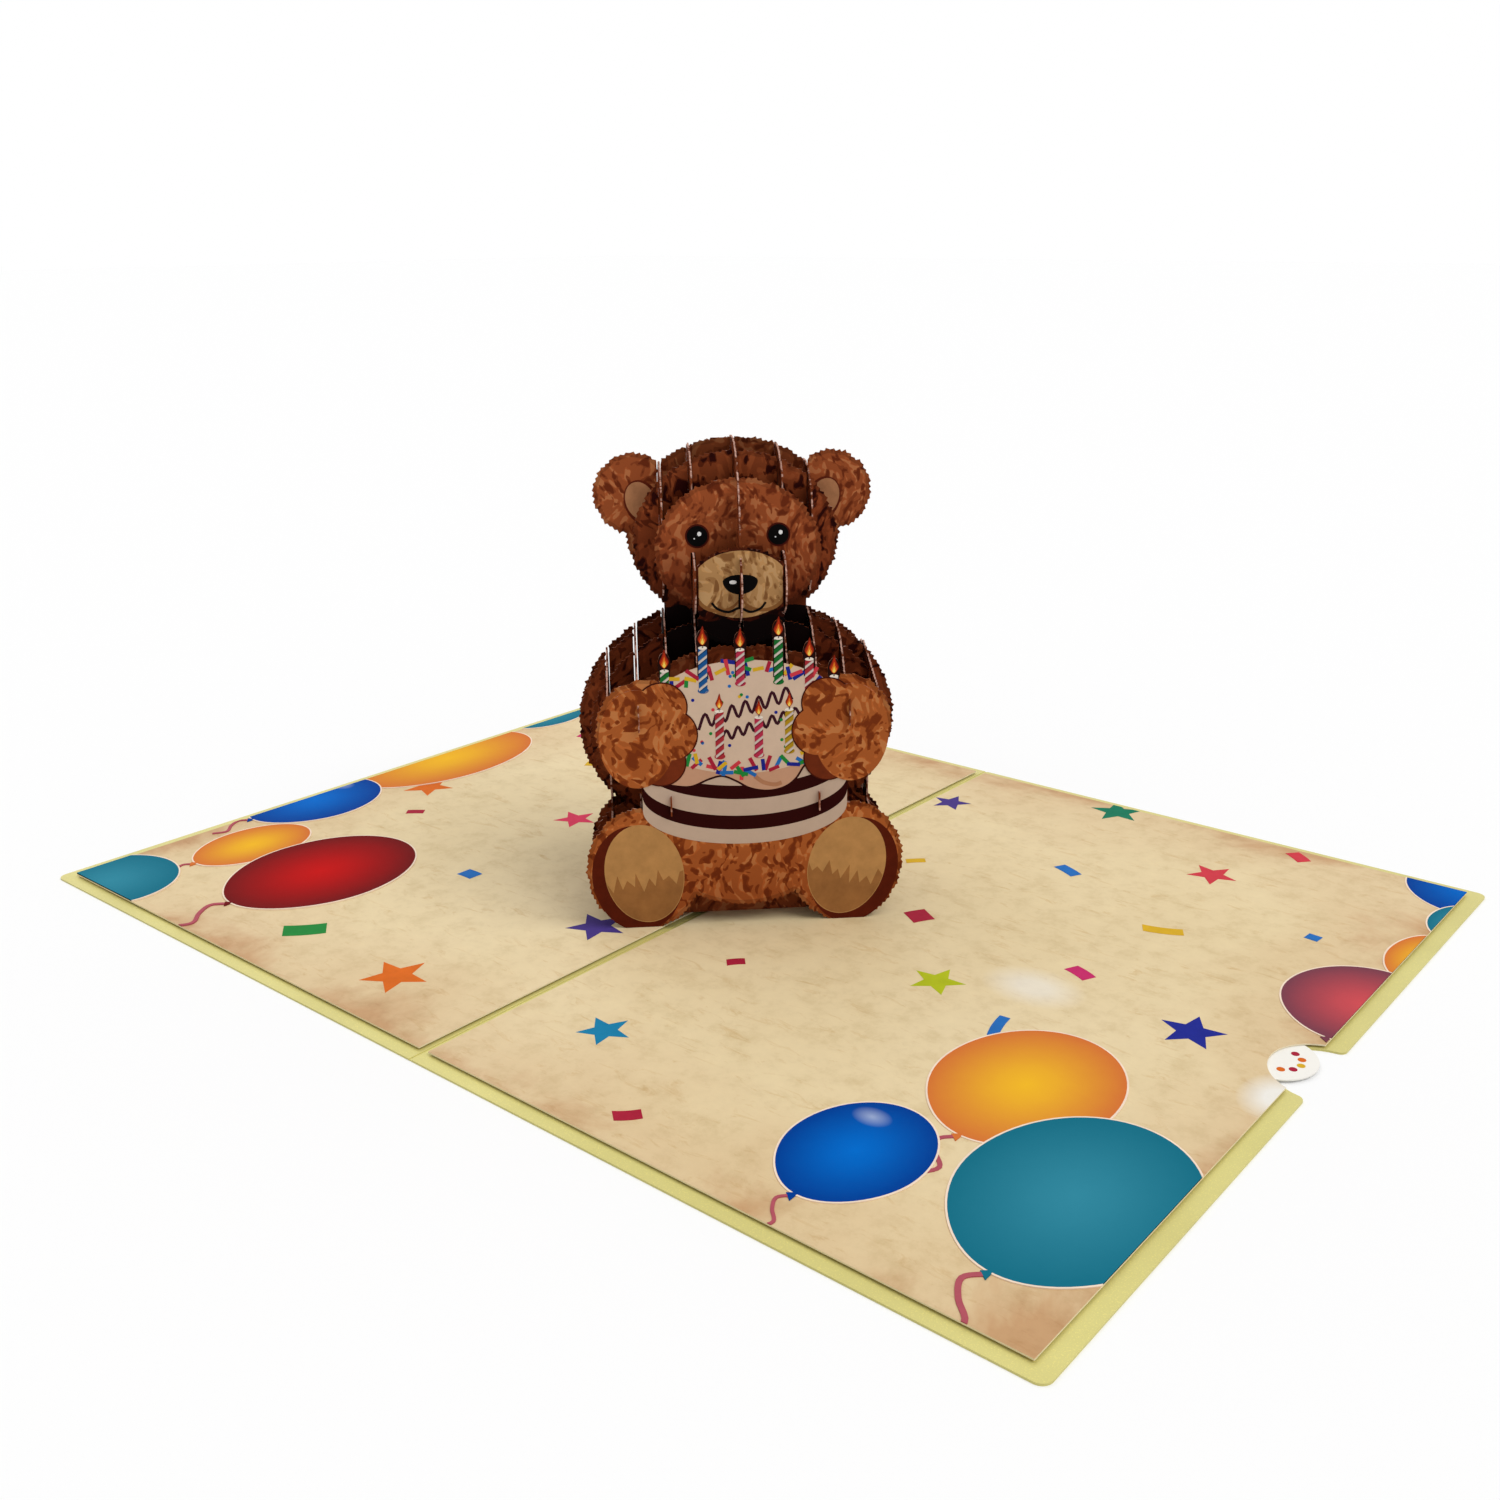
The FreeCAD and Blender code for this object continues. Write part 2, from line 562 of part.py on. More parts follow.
# Closed slots in the front slice, and the tabs of the side slices that pass through them.
FRONT_TABS = {2: ("lap_tab_height", "lap_tab_tall"), 3: ("paw_tab_height", "paw_tab_tall")}
for j, (height, tall) in FRONT_TABS.items():
    low, high = size(height), size(height) + size(tall)
    for side in (-j, j):
        slots[1].append((side_out(side) - slot_half, side_out(side) + slot_half,
                         low - size("tab_play"), high + size("tab_play")))
        tab = block(FRONT_LIMIT - 2.0, face_depth(1) + size("slice_paper") / 2 + size("tab_reach"),
                    low, high)
        sides[(side, "trunk")] = one_face([sides[(side, "trunk")], tab])

# Foot tabs reach through the page and turn flat under it.
for k, place in FACE_TABS.items():
    middle, half = place, size("foot_tab_width") / 2
    tab = block(middle - half, middle + half, -size("page_paper") - size("slice_paper"), 2.0)
    faces[k] = one_face([faces[k], tab])
for j, place in SIDE_TABS.items():
    middle, half = place, size("foot_tab_width") / 2
    tab = block(middle - half, middle + half, -size("page_paper") - size("slice_paper"), 2.0)
    sides[(j, "trunk")] = one_face([sides[(j, "trunk")], tab])


def sketch_on(body, name, role):
    sketch = body.newObject("Sketcher::SketchObject", name)
    plane = [f for f in body.Origin.OriginFeatures if f.Role == role][0]
    sketch.AttachmentSupport = [(plane, "")]
    sketch.MapMode = "FlatFace"
    return sketch


def trace(edge):
    """Sketch geometry for one edge of an outline."""
    curve, first, last = edge.Curve, edge.FirstParameter, edge.LastParameter
    if isinstance(curve, Part.Circle):
        return Part.ArcOfCircle(curve, first, last)
    if isinstance(curve, Part.Ellipse):
        return Part.ArcOfEllipse(curve, first, last)
    return Part.LineSegment(edge.Vertexes[0].Point, edge.Vertexes[-1].Point)


def frame_lines(x0, x1, z0, z1):
    corners = [Vector(x0, z0, 0), Vector(x1, z0, 0), Vector(x1, z1, 0), Vector(x0, z1, 0)]
    return [Part.LineSegment(corners[i], corners[(i + 1) % 4]) for i in range(4)]


def paper_slice(label, outline, cuts, angle, base_x, base_y, foot=None):
    """One slice: its outline as a pad of paper thickness, and its slots cut through."""
    body = doc.addObject("PartDesign::Body", label + "_body")
    drawn = sketch_on(body, label + "_outline", "XZ_Plane")
    drawn.addGeometry([trace(edge) for edge in outline.Edges], False)
    pad = body.newObject("PartDesign::Pad", label + "_paper")
    pad.Profile = drawn
    pad.SideType = "Symmetric"
    pad.Refine = False
    pad.setExpression("Length", "Sizes.slice_paper")
    if foot:
        middle, towards = foot
        flat = sketch_on(body, label + "_foot_outline", "XY_Plane")
        start = -towards * size("slice_paper") / 2
        end = towards * size("foot_tab_turn")
        flat.addGeometry(frame_lines(middle - size("foot_tab_width") / 2,
                                     middle + size("foot_tab_width") / 2,
                                     min(start, end), max(start, end)), False)
        flat.setExpression("AttachmentOffset.Base.z", "-Sizes.page_paper - Sizes.slice_paper")
        turned = body.newObject("PartDesign::Pad", label + "_foot")
        turned.Profile = flat
        turned.setExpression("Length", "Sizes.slice_paper")
        body.Tip = turned
    if cuts:
        lines = []
        for rectangle in cuts:
            lines += frame_lines(*rectangle)
        slotted = sketch_on(body, label + "_slots", "XZ_Plane")
        slotted.addGeometry(lines, False)
        pocket_cut = body.newObject("PartDesign::Pocket", label + "_slot_cut")
        pocket_cut.Profile = slotted
        pocket_cut.SideType = "Symmetric"
        pocket_cut.Type = "ThroughAll"
        pocket_cut.Refine = False
        body.Tip = pocket_cut
    body.Placement = FreeCAD.Placement(Vector(0, 0, 0), FreeCAD.Rotation(Vector(0, 0, 1), angle))
    bind(body, Base_x=base_x, Base_y=base_y, Base_z=PAGE_TOP)
    return node(label, body)


def face_steps(k):
    return "%g * Sizes.face_pitch * cos(45 deg)" % (3.5 - k)


for k, label in SLICE_OF_FACE.items():
    foot = (FACE_TABS[k], 1 if k == 5 else -1) if k in FACE_TABS else None
    paper_slice(label, faces[k], slots[k], 45, face_steps(k),
                "Sizes.bear_along_fold - " + face_steps(k), foot)
for label, k in HEAD_ONLY.items():
    paper_slice(label, heads[label], slots[label], 45, face_steps(k),
                "Sizes.bear_along_fold - " + face_steps(k))

SIDE_NAMES = {1: "inner", 2: "middle", 3: "leg", 4: "outer"}
for key in SIDE_PARTS:
    j, part = key
    hand = "left" if j < 0 else "right"
    label = ("spine_slice" if j == 0 else hand + "_cheek_slice" if part == "head"
             else "%s_%s_slice" % (hand, SIDE_NAMES[abs(j)]))
    steps = "0" if j == 0 else "%d * (Sizes.first_side + %d * Sizes.side_pitch) * cos(45 deg)" % (
        1 if j > 0 else -1, abs(j) - 1)
    foot = None
    if j in SIDE_TABS and part == "trunk":
        foot = (SIDE_TABS[j], 1 if j < 0 else -1)
    paper_slice(label, sides[key], slots[key], -45, steps, "Sizes.bear_along_fold + " + steps, foot)

doc.recompute()

for obj in doc.Objects:
    if "Invalid" in obj.State or "Error" in obj.State:
        raise RuntimeError("%s did not rebuild: %s" % (obj.Name, obj.State))
for label, obj in NODES:
    if obj.Shape.isNull() or not obj.Shape.isValid() or len(obj.Shape.Solids) != 1:
        raise RuntimeError("%s is not one sound solid (%d)" % (label, len(obj.Shape.Solids)))

os.makedirs("parts", exist_ok=True)
for label, obj in NODES:
    obj.Shape.exportStep("parts/%s.step" % label)
    print("%-20s %8.1f mm3 %d faces" % (label, obj.Shape.Volume, len(obj.Shape.Faces)))
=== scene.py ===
import math
import random

import bmesh
import bpy
from bpy.props import FloatProperty, FloatVectorProperty, IntProperty, PointerProperty
from bpy.types import Operator, Panel, PropertyGroup
from mathutils import Matrix, Vector


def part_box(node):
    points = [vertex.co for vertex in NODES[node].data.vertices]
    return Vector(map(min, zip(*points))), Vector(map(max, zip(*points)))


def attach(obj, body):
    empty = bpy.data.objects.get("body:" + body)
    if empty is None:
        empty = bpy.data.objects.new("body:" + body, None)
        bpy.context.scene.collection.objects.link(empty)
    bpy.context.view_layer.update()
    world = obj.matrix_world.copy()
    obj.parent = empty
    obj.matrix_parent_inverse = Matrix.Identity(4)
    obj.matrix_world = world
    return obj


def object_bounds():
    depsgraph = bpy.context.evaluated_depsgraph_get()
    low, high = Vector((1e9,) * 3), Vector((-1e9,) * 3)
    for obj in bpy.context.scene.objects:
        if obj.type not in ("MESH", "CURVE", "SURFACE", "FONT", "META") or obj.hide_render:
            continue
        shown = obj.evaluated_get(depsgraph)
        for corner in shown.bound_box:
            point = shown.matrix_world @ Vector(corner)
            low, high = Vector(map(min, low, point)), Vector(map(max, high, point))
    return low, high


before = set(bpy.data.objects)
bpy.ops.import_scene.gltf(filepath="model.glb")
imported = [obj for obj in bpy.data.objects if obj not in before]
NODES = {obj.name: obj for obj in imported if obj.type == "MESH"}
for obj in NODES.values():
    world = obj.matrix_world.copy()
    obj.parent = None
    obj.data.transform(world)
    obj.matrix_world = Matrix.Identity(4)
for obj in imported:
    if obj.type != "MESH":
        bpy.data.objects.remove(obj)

bl_info = {
    "name": "Pop up birthday card",
    "version": (1, 0, 0),
    "blender": (4, 5, 0),
    "location": "View3D > Sidebar > Pop up card",
    "description": "Print, paper and stage of an open pop up card with a seated paper bear",
    "category": "Object",
}

CAD_BOX = [list(corner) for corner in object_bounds()]
MM = 0.001
INK = 0.03 * MM            # height of one printed layer
SINK = 0.01 * MM           # how far a printed layer reaches into its paper
ACROSS = Vector((1.0, 1.0, 0.0)).normalized()      # along a face slice, to the viewer's right
TOWARDS = Vector((1.0, -1.0, 0.0)).normalized()    # out of a face slice, to the viewer
UP = Vector((0.0, 0.0, 1.0))
PAGE_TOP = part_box("right_page")[1].z
SPINE = [vert.co.dot(ACROSS) for vert in NODES["spine_slice"].data.vertices]
MIDDLE = 0.5 * (min(SPINE) + max(SPINE))           # of the bear, measured along ACROSS
REACH = 40.0 * MM                                  # more than half the bear's width
NECK_REACH = 15.8 * MM                             # half the near-black painted shade under the chin
NECK_HEIGHT, NECK_HALF = 0.6, 0.052                # as shares of the bear's height
SWIRL = (0.009, 0.009, 0.009)                      # how far tufts of fur swirl
TUFT_STEP = 0.62 * MM                              # between the points of a fringe of fur
FRINGE_BAND = 0.7 * MM                             # of a fringe that lies over its slice
FRINGE_LIFT = 0.02 * MM                            # of a fringe in front of its slice
NOTCH_CLEAR = 20.0         # balloons whose knot is nearer to the notch have no string, in mm
SIDE_SLICES = ["spine_slice"] + [hand + part for hand in ("left_", "right_") for part in
                                 ("outer_slice", "leg_slice", "middle_slice", "inner_slice",
                                  "cheek_slice")]


def rgb(red, green, blue):
    """A colour given as 0 to 255 screen values, as the linear colour that a shader takes."""
    parts = [v / 255.0 for v in (red, green, blue)]
    return [v / 12.92 if v <= 0.04045 else ((v + 0.055) / 1.055) ** 2.4 for v in parts] + [1.0]


def shade(colour, factor):
    return [v * factor for v in colour[:3]] + [1.0]


def colour_property(name, text, *screen):
    return FloatVectorProperty(name=name, description=text, subtype="COLOR", size=4, min=0.0,
                               max=1.0, default=rgb(*screen))


class CardPaper(PropertyGroup):
    cover: colour_property("Cover", "Pearl card of the cover, seen round the pages", 214, 205, 128)
    cover_outside: colour_property("Cover outside", "Pearl card on the outside", 190, 176, 92)
    parchment: colour_property("Parchment", "Middle of the printed pages", 228, 208, 166)
    parchment_edge: colour_property("Parchment edge", "Brown cloud along the edges", 196, 154, 110)
    white: colour_property("White paper", "Message card and strips", 243, 240, 232)
    cut: colour_property("Cut edge", "Pale cut edge of the paper slices", 198, 156, 140)


class FurPrint(PropertyGroup):
    light: colour_property("Light tuft", "Lightest tufts of fur", 178, 108, 66)
    middle: colour_property("Fur", "Main colour of the fur", 150, 76, 40)
    deep: colour_property("Deep fur", "Shadow between the tufts", 104, 42, 18)
    # This tone also makes the near-black painted shade under the chin
    dark: colour_property("Dark fur", "Darkest fur, by the neck", 52, 10, 6)
    stroke: FloatProperty(name="Tuft width", description="Width of one printed tuft",
                          default=0.6 * MM, min=0.4 * MM, max=5.0 * MM, unit="LENGTH")
    hair: FloatProperty(name="Cut tuft", description="How far the tufts cut in the edges stand out",
                        default=0.42 * MM, min=0.0, max=2.0 * MM, unit="LENGTH")


class CakePrint(PropertyGroup):
    icing: colour_property("Icing", "Top of the cake", 212, 186, 164)
    drip: colour_property("Dripping icing", "Icing that runs over the rim", 196, 150, 122)
    sponge: colour_property("Sponge", "Dark layers of the cake", 44, 6, 6)
    cream: colour_property("Cream", "Pale layers of the cake", 194, 170, 152)
    sprinkles: IntProperty(name="Sprinkles", description="Sprinkles on each rim of the cake",
                           default=34, min=0, max=80)


class StageSettings(PropertyGroup):
    camera_place: FloatVectorProperty(name="Camera", description="Place of the camera",
                                      subtype="TRANSLATION", unit="LENGTH",
                                      default=(0.2048, -0.2443, 0.1429))
    azimuth: FloatProperty(name="Azimuth", description="Direction of the camera round the card",
                           default=math.radians(39.60), subtype="ANGLE")
    elevation: FloatProperty(name="Elevation", description="Height angle of the camera",
                             default=math.radians(18.04), subtype="ANGLE")
    roll: FloatProperty(name="Roll", description="Turn of the camera about its own axis",
                        default=math.radians(-0.33), subtype="ANGLE")
    lens: FloatProperty(name="Lens", description="Focal length on a 36 mm sensor", default=36.62,
                        min=10.0, max=200.0)


# Materials

def tone(value):
    """A grey for a number, or a colour, with the alpha that a shader's colour has."""
    return ([value] * 3 if isinstance(value, float) else list(value[:3])) + [1.0]


def add_node(tree, kind, values=(), **settings):
    """A new node; each value is set on its input, or linked to it where it is a socket."""
    node = tree.nodes.new(kind)
    for key, value in settings.items():
        setattr(node, key, value)
    for key, value in dict(values).items():
        if isinstance(value, bpy.types.NodeSocket):
            tree.links.new(value, node.inputs[key])
        else:
            node.inputs[key].default_value = value
    return node


class Nodes:
    """A material's node tree, with short calls for the nodes that this card's papers use."""

    def __init__(self, name, gloss=0.3):
        self.material = bpy.data.materials.new(name)
        self.material.use_nodes = True
        self.tree = self.material.node_tree
        self.shader = self.tree.nodes["Principled BSDF"]
        self.shader.inputs["Roughness"].default_value = 0.55
        self.shader.inputs["Specular IOR Level"].default_value = gloss
        found = self.add("ShaderNodeTexCoord").outputs
        self.place, self.normal = found["Object"], found["Normal"]

    def add(self, kind, values=(), **settings):
        return add_node(self.tree, kind, values, **settings)

    def link(self, socket, name):
        self.tree.links.new(socket, self.shader.inputs[name])

    def math(self, operation, first, second=0.0, third=0.0):
        node = self.add("ShaderNodeMath", {0: first, 1: second, 2: third}, operation=operation)
        return node.outputs[0]

    def vector(self, operation, first, second=(0.0, 0.0, 0.0)):
        """A vector, or a number where the operation is a dot product or a length."""
        node = self.add("ShaderNodeVectorMath", {0: first, 1: second}, operation=operation)
        return node.outputs["Value" if operation in ("DOT_PRODUCT", "LENGTH") else "Vector"]

    def axis(self, vector, name):
        return self.add("ShaderNodeSeparateXYZ", {0: vector}).outputs[name]

    def noise(self, vector, scale, detail=2.0, roughness=0.5, distortion=0.0, output="Fac"):
        node = self.add("ShaderNodeTexNoise", {"Vector": vector, "Scale": scale, "Detail": detail,
                                               "Roughness": roughness, "Distortion": distortion})
        return node.outputs[output]

    def turned(self, vector, angle=0.0, scale=(1.0, 1.0, 1.0), shift=(0.0, 0.0, 0.0)):
        node = self.add("ShaderNodeMapping", {"Vector": vector, "Location": shift,
                                              "Rotation": (0.0, 0.0, angle), "Scale": scale})
        return node.outputs[0]

    def away_from(self, centre, half):
        """The printed place and its distance from a middle, measured in half sizes."""
        near = self.turned(self.place, 0.0, (1.0 / half[0], 1.0 / half[1], 0.0),
                           (-centre[0] / half[0], -centre[1] / half[1], 0.0))
        return near, self.vector("LENGTH", near)

    def ramp(self, factor, stops, steps=False):
        node = self.add("ShaderNodeValToRGB", {"Fac": factor})
        node.color_ramp.interpolation = "CONSTANT" if steps else "LINEAR"
        elements = node.color_ramp.elements
        while len(elements) > 1:
            elements.remove(elements[-1])
        elements[0].position, elements[0].color = stops[0][0], tone(stops[0][1])
        for place, colour in stops[1:]:
            elements.new(place).color = tone(colour)
        return node.outputs["Color"]

    def mix(self, factor, first, second, blend="MIX"):
        node = self.add("ShaderNodeMix", {0: factor, 6: first, 7: second}, data_type="RGBA",
                        blend_type=blend)
        return node.outputs[2]

    def tinted(self, base, factor, stops, strength=1.0):
        """The base multiplied by the colours of a ramp."""
        return self.mix(strength, base, self.ramp(factor, stops), "MULTIPLY")

    def paint(self, colour, strength, size=0.35 * MM, roughness=(0.5, 0.66)):
        """Ends a paper: its colour, and fibres in a fine bump and a roughness that follows it."""
        self.link(colour, "Base Color")
        fibre = self.noise(self.place, 1.0 / size, 3.0, 0.6)
        bump = self.add("ShaderNodeBump", {"Height": fibre, "Strength": strength,
                                           "Distance": 0.05 * MM})
        self.link(bump.outputs["Normal"], "Normal")
        rough = self.add("ShaderNodeMapRange", {"Value": fibre, "To Min": roughness[0],
                                                "To Max": roughness[1]})
        self.link(rough.outputs[0], "Roughness")
        return self.material


def plain_paper(name, colour, mottle=0.06):
    """Uncoated paper with a soft cloud in its colour."""
    paper = Nodes(name)
    cloud = paper.noise(paper.place, 90.0, 4.0, 0.6)
    return paper.paint(paper.ramp(cloud, [(0.3, shade(colour, 1.0 - mottle)), (0.7, colour)]), 0.15)


def pearl_card(name, inside, outside):
    """Pearl card: a satin sheen with a fine glitter, and a deeper tone on the outside."""
    card = Nodes(name)
    cloud = card.noise(card.place, 45.0, 3.0, 0.5)
    specks = card.noise(card.place, 4200.0, 1.0, 0.5)
    below = card.math("LESS_THAN", card.axis(card.normal, "Z"), -0.5)
    base = card.mix(below, list(inside), list(outside))
    base = card.tinted(base, cloud, [(0.25, (0.88, 0.87, 0.82)), (0.75, 1.0)])
    base = card.tinted(base, specks, [(0.55, 1.0), (0.75, (1.18, 1.16, 1.08))])
    card.shader.inputs["Metallic"].default_value = 0.18
    card.shader.inputs["Sheen Weight"].default_value = 0.08
    return card.paint(base, 0.1, 0.25 * MM, (0.36, 0.52))


def parchment(name, settings, half_width, half_length, glows=()):
    """Printed old paper: cream in the middle, brown clouds along the outer edges, fine stains.

    glows are pale round patches, each as its middle, its half sizes and its strength."""
    page = Nodes(name)
    place = page.place
    cloud = page.noise(place, 26.0, 6.0, 0.62, 0.4)
    inset = [page.math("SUBTRACT", half, page.math("ABSOLUTE", page.axis(place, axis)))
             for half, axis in ((half_width, "X"), (half_length, "Y"))]
    nearest = page.math("SMOOTH_MIN", *inset, 0.03)
    depth = page.math("ADD", nearest, page.math("MULTIPLY_ADD", cloud, 0.06, -0.026))
    middle, edge = list(settings.parchment), list(settings.parchment_edge)
    between = [0.7 * m + 0.3 * e for m, e in zip(middle, edge)]
    base = page.ramp(page.math("MULTIPLY", depth, 30.0),
                     [(0.0, edge), (0.3, between), (1.0, middle)])
    base = page.tinted(base, page.noise(place, 170.0, 5.0, 0.7),
                       [(0.28, (0.82, 0.77, 0.67)), (0.5, (0.98, 0.97, 0.95)),
                        (0.72, (1.04, 1.04, 1.03))], 0.75)
    base = page.tinted(base, page.noise(place, 9.0, 3.0, 0.5),
                       [(0.3, (0.92, 0.89, 0.82)), (0.62, 1.0)], 0.8)
    fibre = page.noise(page.turned(place, math.radians(-20), (1.0, 3.2, 1.0)), 130.0, 5.0, 0.72,
                       0.8)
    base = page.tinted(base, fibre, [(0.56, 1.0), (0.76, (0.84, 0.74, 0.6))])
    for spot, half, strength in glows:
        pale = page.ramp(page.away_from(spot, half)[1], [(0.3, strength), (1.0, 0.0)])
        base = page.mix(pale, base, rgb(238, 236, 230))
    printed = page.math("GREATER_THAN", page.axis(page.normal, "Z"), 0.5)
    return page.paint(page.mix(printed, rgb(236, 222, 190), base), 0.14)


def fur_print(name, tones, direction, settings, lights, painted_shade_across=None, bare=0.5, neck=True):
    """Fur printed in a few flat tones: ragged tufts, longer than wide, that swirl a little.

    tones are dark, deep, middle and light. The stops by share of the bear's height are painted
    light and shade: how bright the fur is made at each height. The stops across are painted shade,
    partly the print's own darker tone, at a distance from the bear's middle. direction is the
    way the sheet faces; bare is how much of its cut edges is left pale. neck adds a near-black
    painted shade under the chin."""
    dark, deep, middle, light = tones
    fur = Nodes(name, 0.04)
    across = Vector(direction).cross(UP)
    flat_place = fur.turned(fur.place, -math.atan2(across.y, across.x), (1.0, 0.0, 1.0))
    swirl = fur.noise(flat_place, 95.0, 1.0, 0.5, output="Color")
    drift = fur.vector("MULTIPLY", fur.vector("SUBTRACT", swirl, (0.5, 0.5, 0.5)), SWIRL)
    tuft = fur.turned(fur.vector("ADD", flat_place, drift), 0.0, (1.0, 1.0, 0.45))
    coarse = fur.noise(flat_place, 0.13 / settings.stroke, 2.0, 0.5, 0.3)
    shadow = fur.noise(tuft, 0.5 / settings.stroke, 1.0, 0.6, 0.2)
    shadow = fur.math("MULTIPLY_ADD", coarse, 0.3, fur.math("SUBTRACT", shadow, 0.15))
    tip = fur.noise(fur.turned(tuft, 0.0, (1.0, 1.0, 1.0), (0.3, 0.1, 0.2)),
                    0.46 / settings.stroke, 1.0, 0.6, 0.2)
    fill = fur.ramp(tip, [(0.0, middle), (0.53, shade(middle, 1.22)), (0.575, light)], steps=True)
    for limit, colour in ((0.445, deep), (0.37, dark)):
        fill = fur.mix(fur.math("LESS_THAN", shadow, limit), fill, colour)
    share = fur.add("ShaderNodeMapRange", {
        "Value": fur.axis(fur.place, "Z"), "From Min": PAGE_TOP,
        "From Max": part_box("ear_slice")[1].z}).outputs[0]
    ragged = fur.math("MULTIPLY_ADD", coarse, 0.14, -0.07)
    # Painted light and shade by height: the fur is made brighter or darker, and redder where darker
    fill = fur.tinted(fill, fur.math("ADD", share, ragged),
                      [(at, (value, value * (0.55 + 0.45 * min(value, 1.0)),
                             value * (0.45 + 0.55 * min(value, 1.0)))) for at, value in lights])
    out = fur.vector("DOT_PRODUCT", fur.place, tuple(ACROSS))
    away = fur.math("ABSOLUTE", fur.math("SUBTRACT", out, MIDDLE))
    # Painted shade: a near-black band under the chin, on the slices near the bear's middle
    if neck:
        under = fur.math("COMPARE", fur.math("MULTIPLY_ADD", ragged, 0.3, share), NECK_HEIGHT,
                         NECK_HALF)
        under = fur.math("MULTIPLY", under, fur.math("LESS_THAN", away, NECK_REACH))
        fill = fur.mix(under, fill, shade(dark, 0.12))
    # Painted shade across from the bear's middle, partly the print's own darker tone
    if painted_shade_across:
        away = fur.math("MULTIPLY_ADD", coarse, 0.006, fur.math("SUBTRACT", away, 0.003))
        fill = fur.tinted(fill, fur.math("MULTIPLY", away, 1.0 / REACH),
                          [(at * MM / REACH, value) for at, value in painted_shade_across])
    facing = fur.math("ABSOLUTE", fur.vector("DOT_PRODUCT", fur.normal, tuple(direction)))
    bleed = fur.noise(fur.place, 520.0, 2.0, 0.6)
    cut = fur.ramp(bleed, [(0.66 - 0.34 * bare, shade(middle, 0.8)),
                           (0.78 - 0.34 * bare, bpy.context.scene.card_paper.cut)])
    return fur.paint(fur.mix(fur.math("GREATER_THAN", facing, 0.7), cut, fill), 0.16)


def ink(name, colour, mottle=0.1):
    """One flat printed colour, a little uneven as print on paper is."""
    flat = Nodes(name, 0.04)
    cloud = flat.noise(flat.place, 300.0, 4.0, 0.65)
    return flat.paint(flat.ramp(cloud, [(0.3, shade(colour, 1.0 - mottle)),
                                        (0.7, shade(colour, 1.0 + 0.4 * mottle))]), 0.12)


def balloon_ink(name, middle, rim, centre, half, glow):
    """A printed balloon: bright in the middle and deeper to its rim; glow adds a soft gleam."""
    balloon = Nodes(name, 0.02)
    near, away = balloon.away_from(centre, half)
    fine = balloon.noise(balloon.place, 400.0, 3.0, 0.6)
    away = balloon.math("ADD", away, balloon.math("MULTIPLY_ADD", fine, 0.08, -0.04))
    both = [0.4 * m + 0.6 * r for m, r in zip(middle, rim)]
    inner = [0.6 * m + 0.4 * b for m, b in zip(middle, both)]
    fill = balloon.ramp(away, [(0.0, middle), (0.3, inner), (0.62, both), (1.0, rim)])
    gleam = balloon.turned(near, 0.0, (3.2, 5.5, 0.0), (3.2 * 0.3, -5.5 * 0.62, 0.0))
    soft = balloon.ramp(balloon.vector("LENGTH", gleam), [(0.0, glow), (1.0, 0.0)])
    return balloon.paint(balloon.mix(soft, fill, rgb(226, 236, 248)), 0.1)


def striped_ink(name, colour, pale, spacing):
    """A candle's spiral: slanting stripes of one colour and a pale one."""
    candle = Nodes(name, 0.04)
    along = candle.vector("DOT_PRODUCT", candle.place, tuple(ACROSS))
    slope = candle.math("MULTIPLY_ADD", along, -0.8, candle.axis(candle.place, "Z"))
    turn = candle.math("FRACT", candle.math("DIVIDE", slope, spacing))
    stripe = candle.ramp(turn, [(0.0, colour), (0.5, shade(colour, 0.5)), (0.66, pale),
                                (0.92, shade(pale, 0.7))], steps=True)
    return candle.paint(stripe, 0.1)


# Printed shapes

def new_object(name, mesh, materials):
    """Turns a finished bmesh into an object with its normals outward."""
    bmesh.ops.recalc_face_normals(mesh, faces=mesh.faces)
    data = bpy.data.meshes.new(name)
    mesh.to_mesh(data)
    mesh.free()
    for material in materials:
        data.materials.append(material)
    piece = bpy.data.objects.new(name, data)
    bpy.context.scene.collection.objects.link(piece)
    return piece


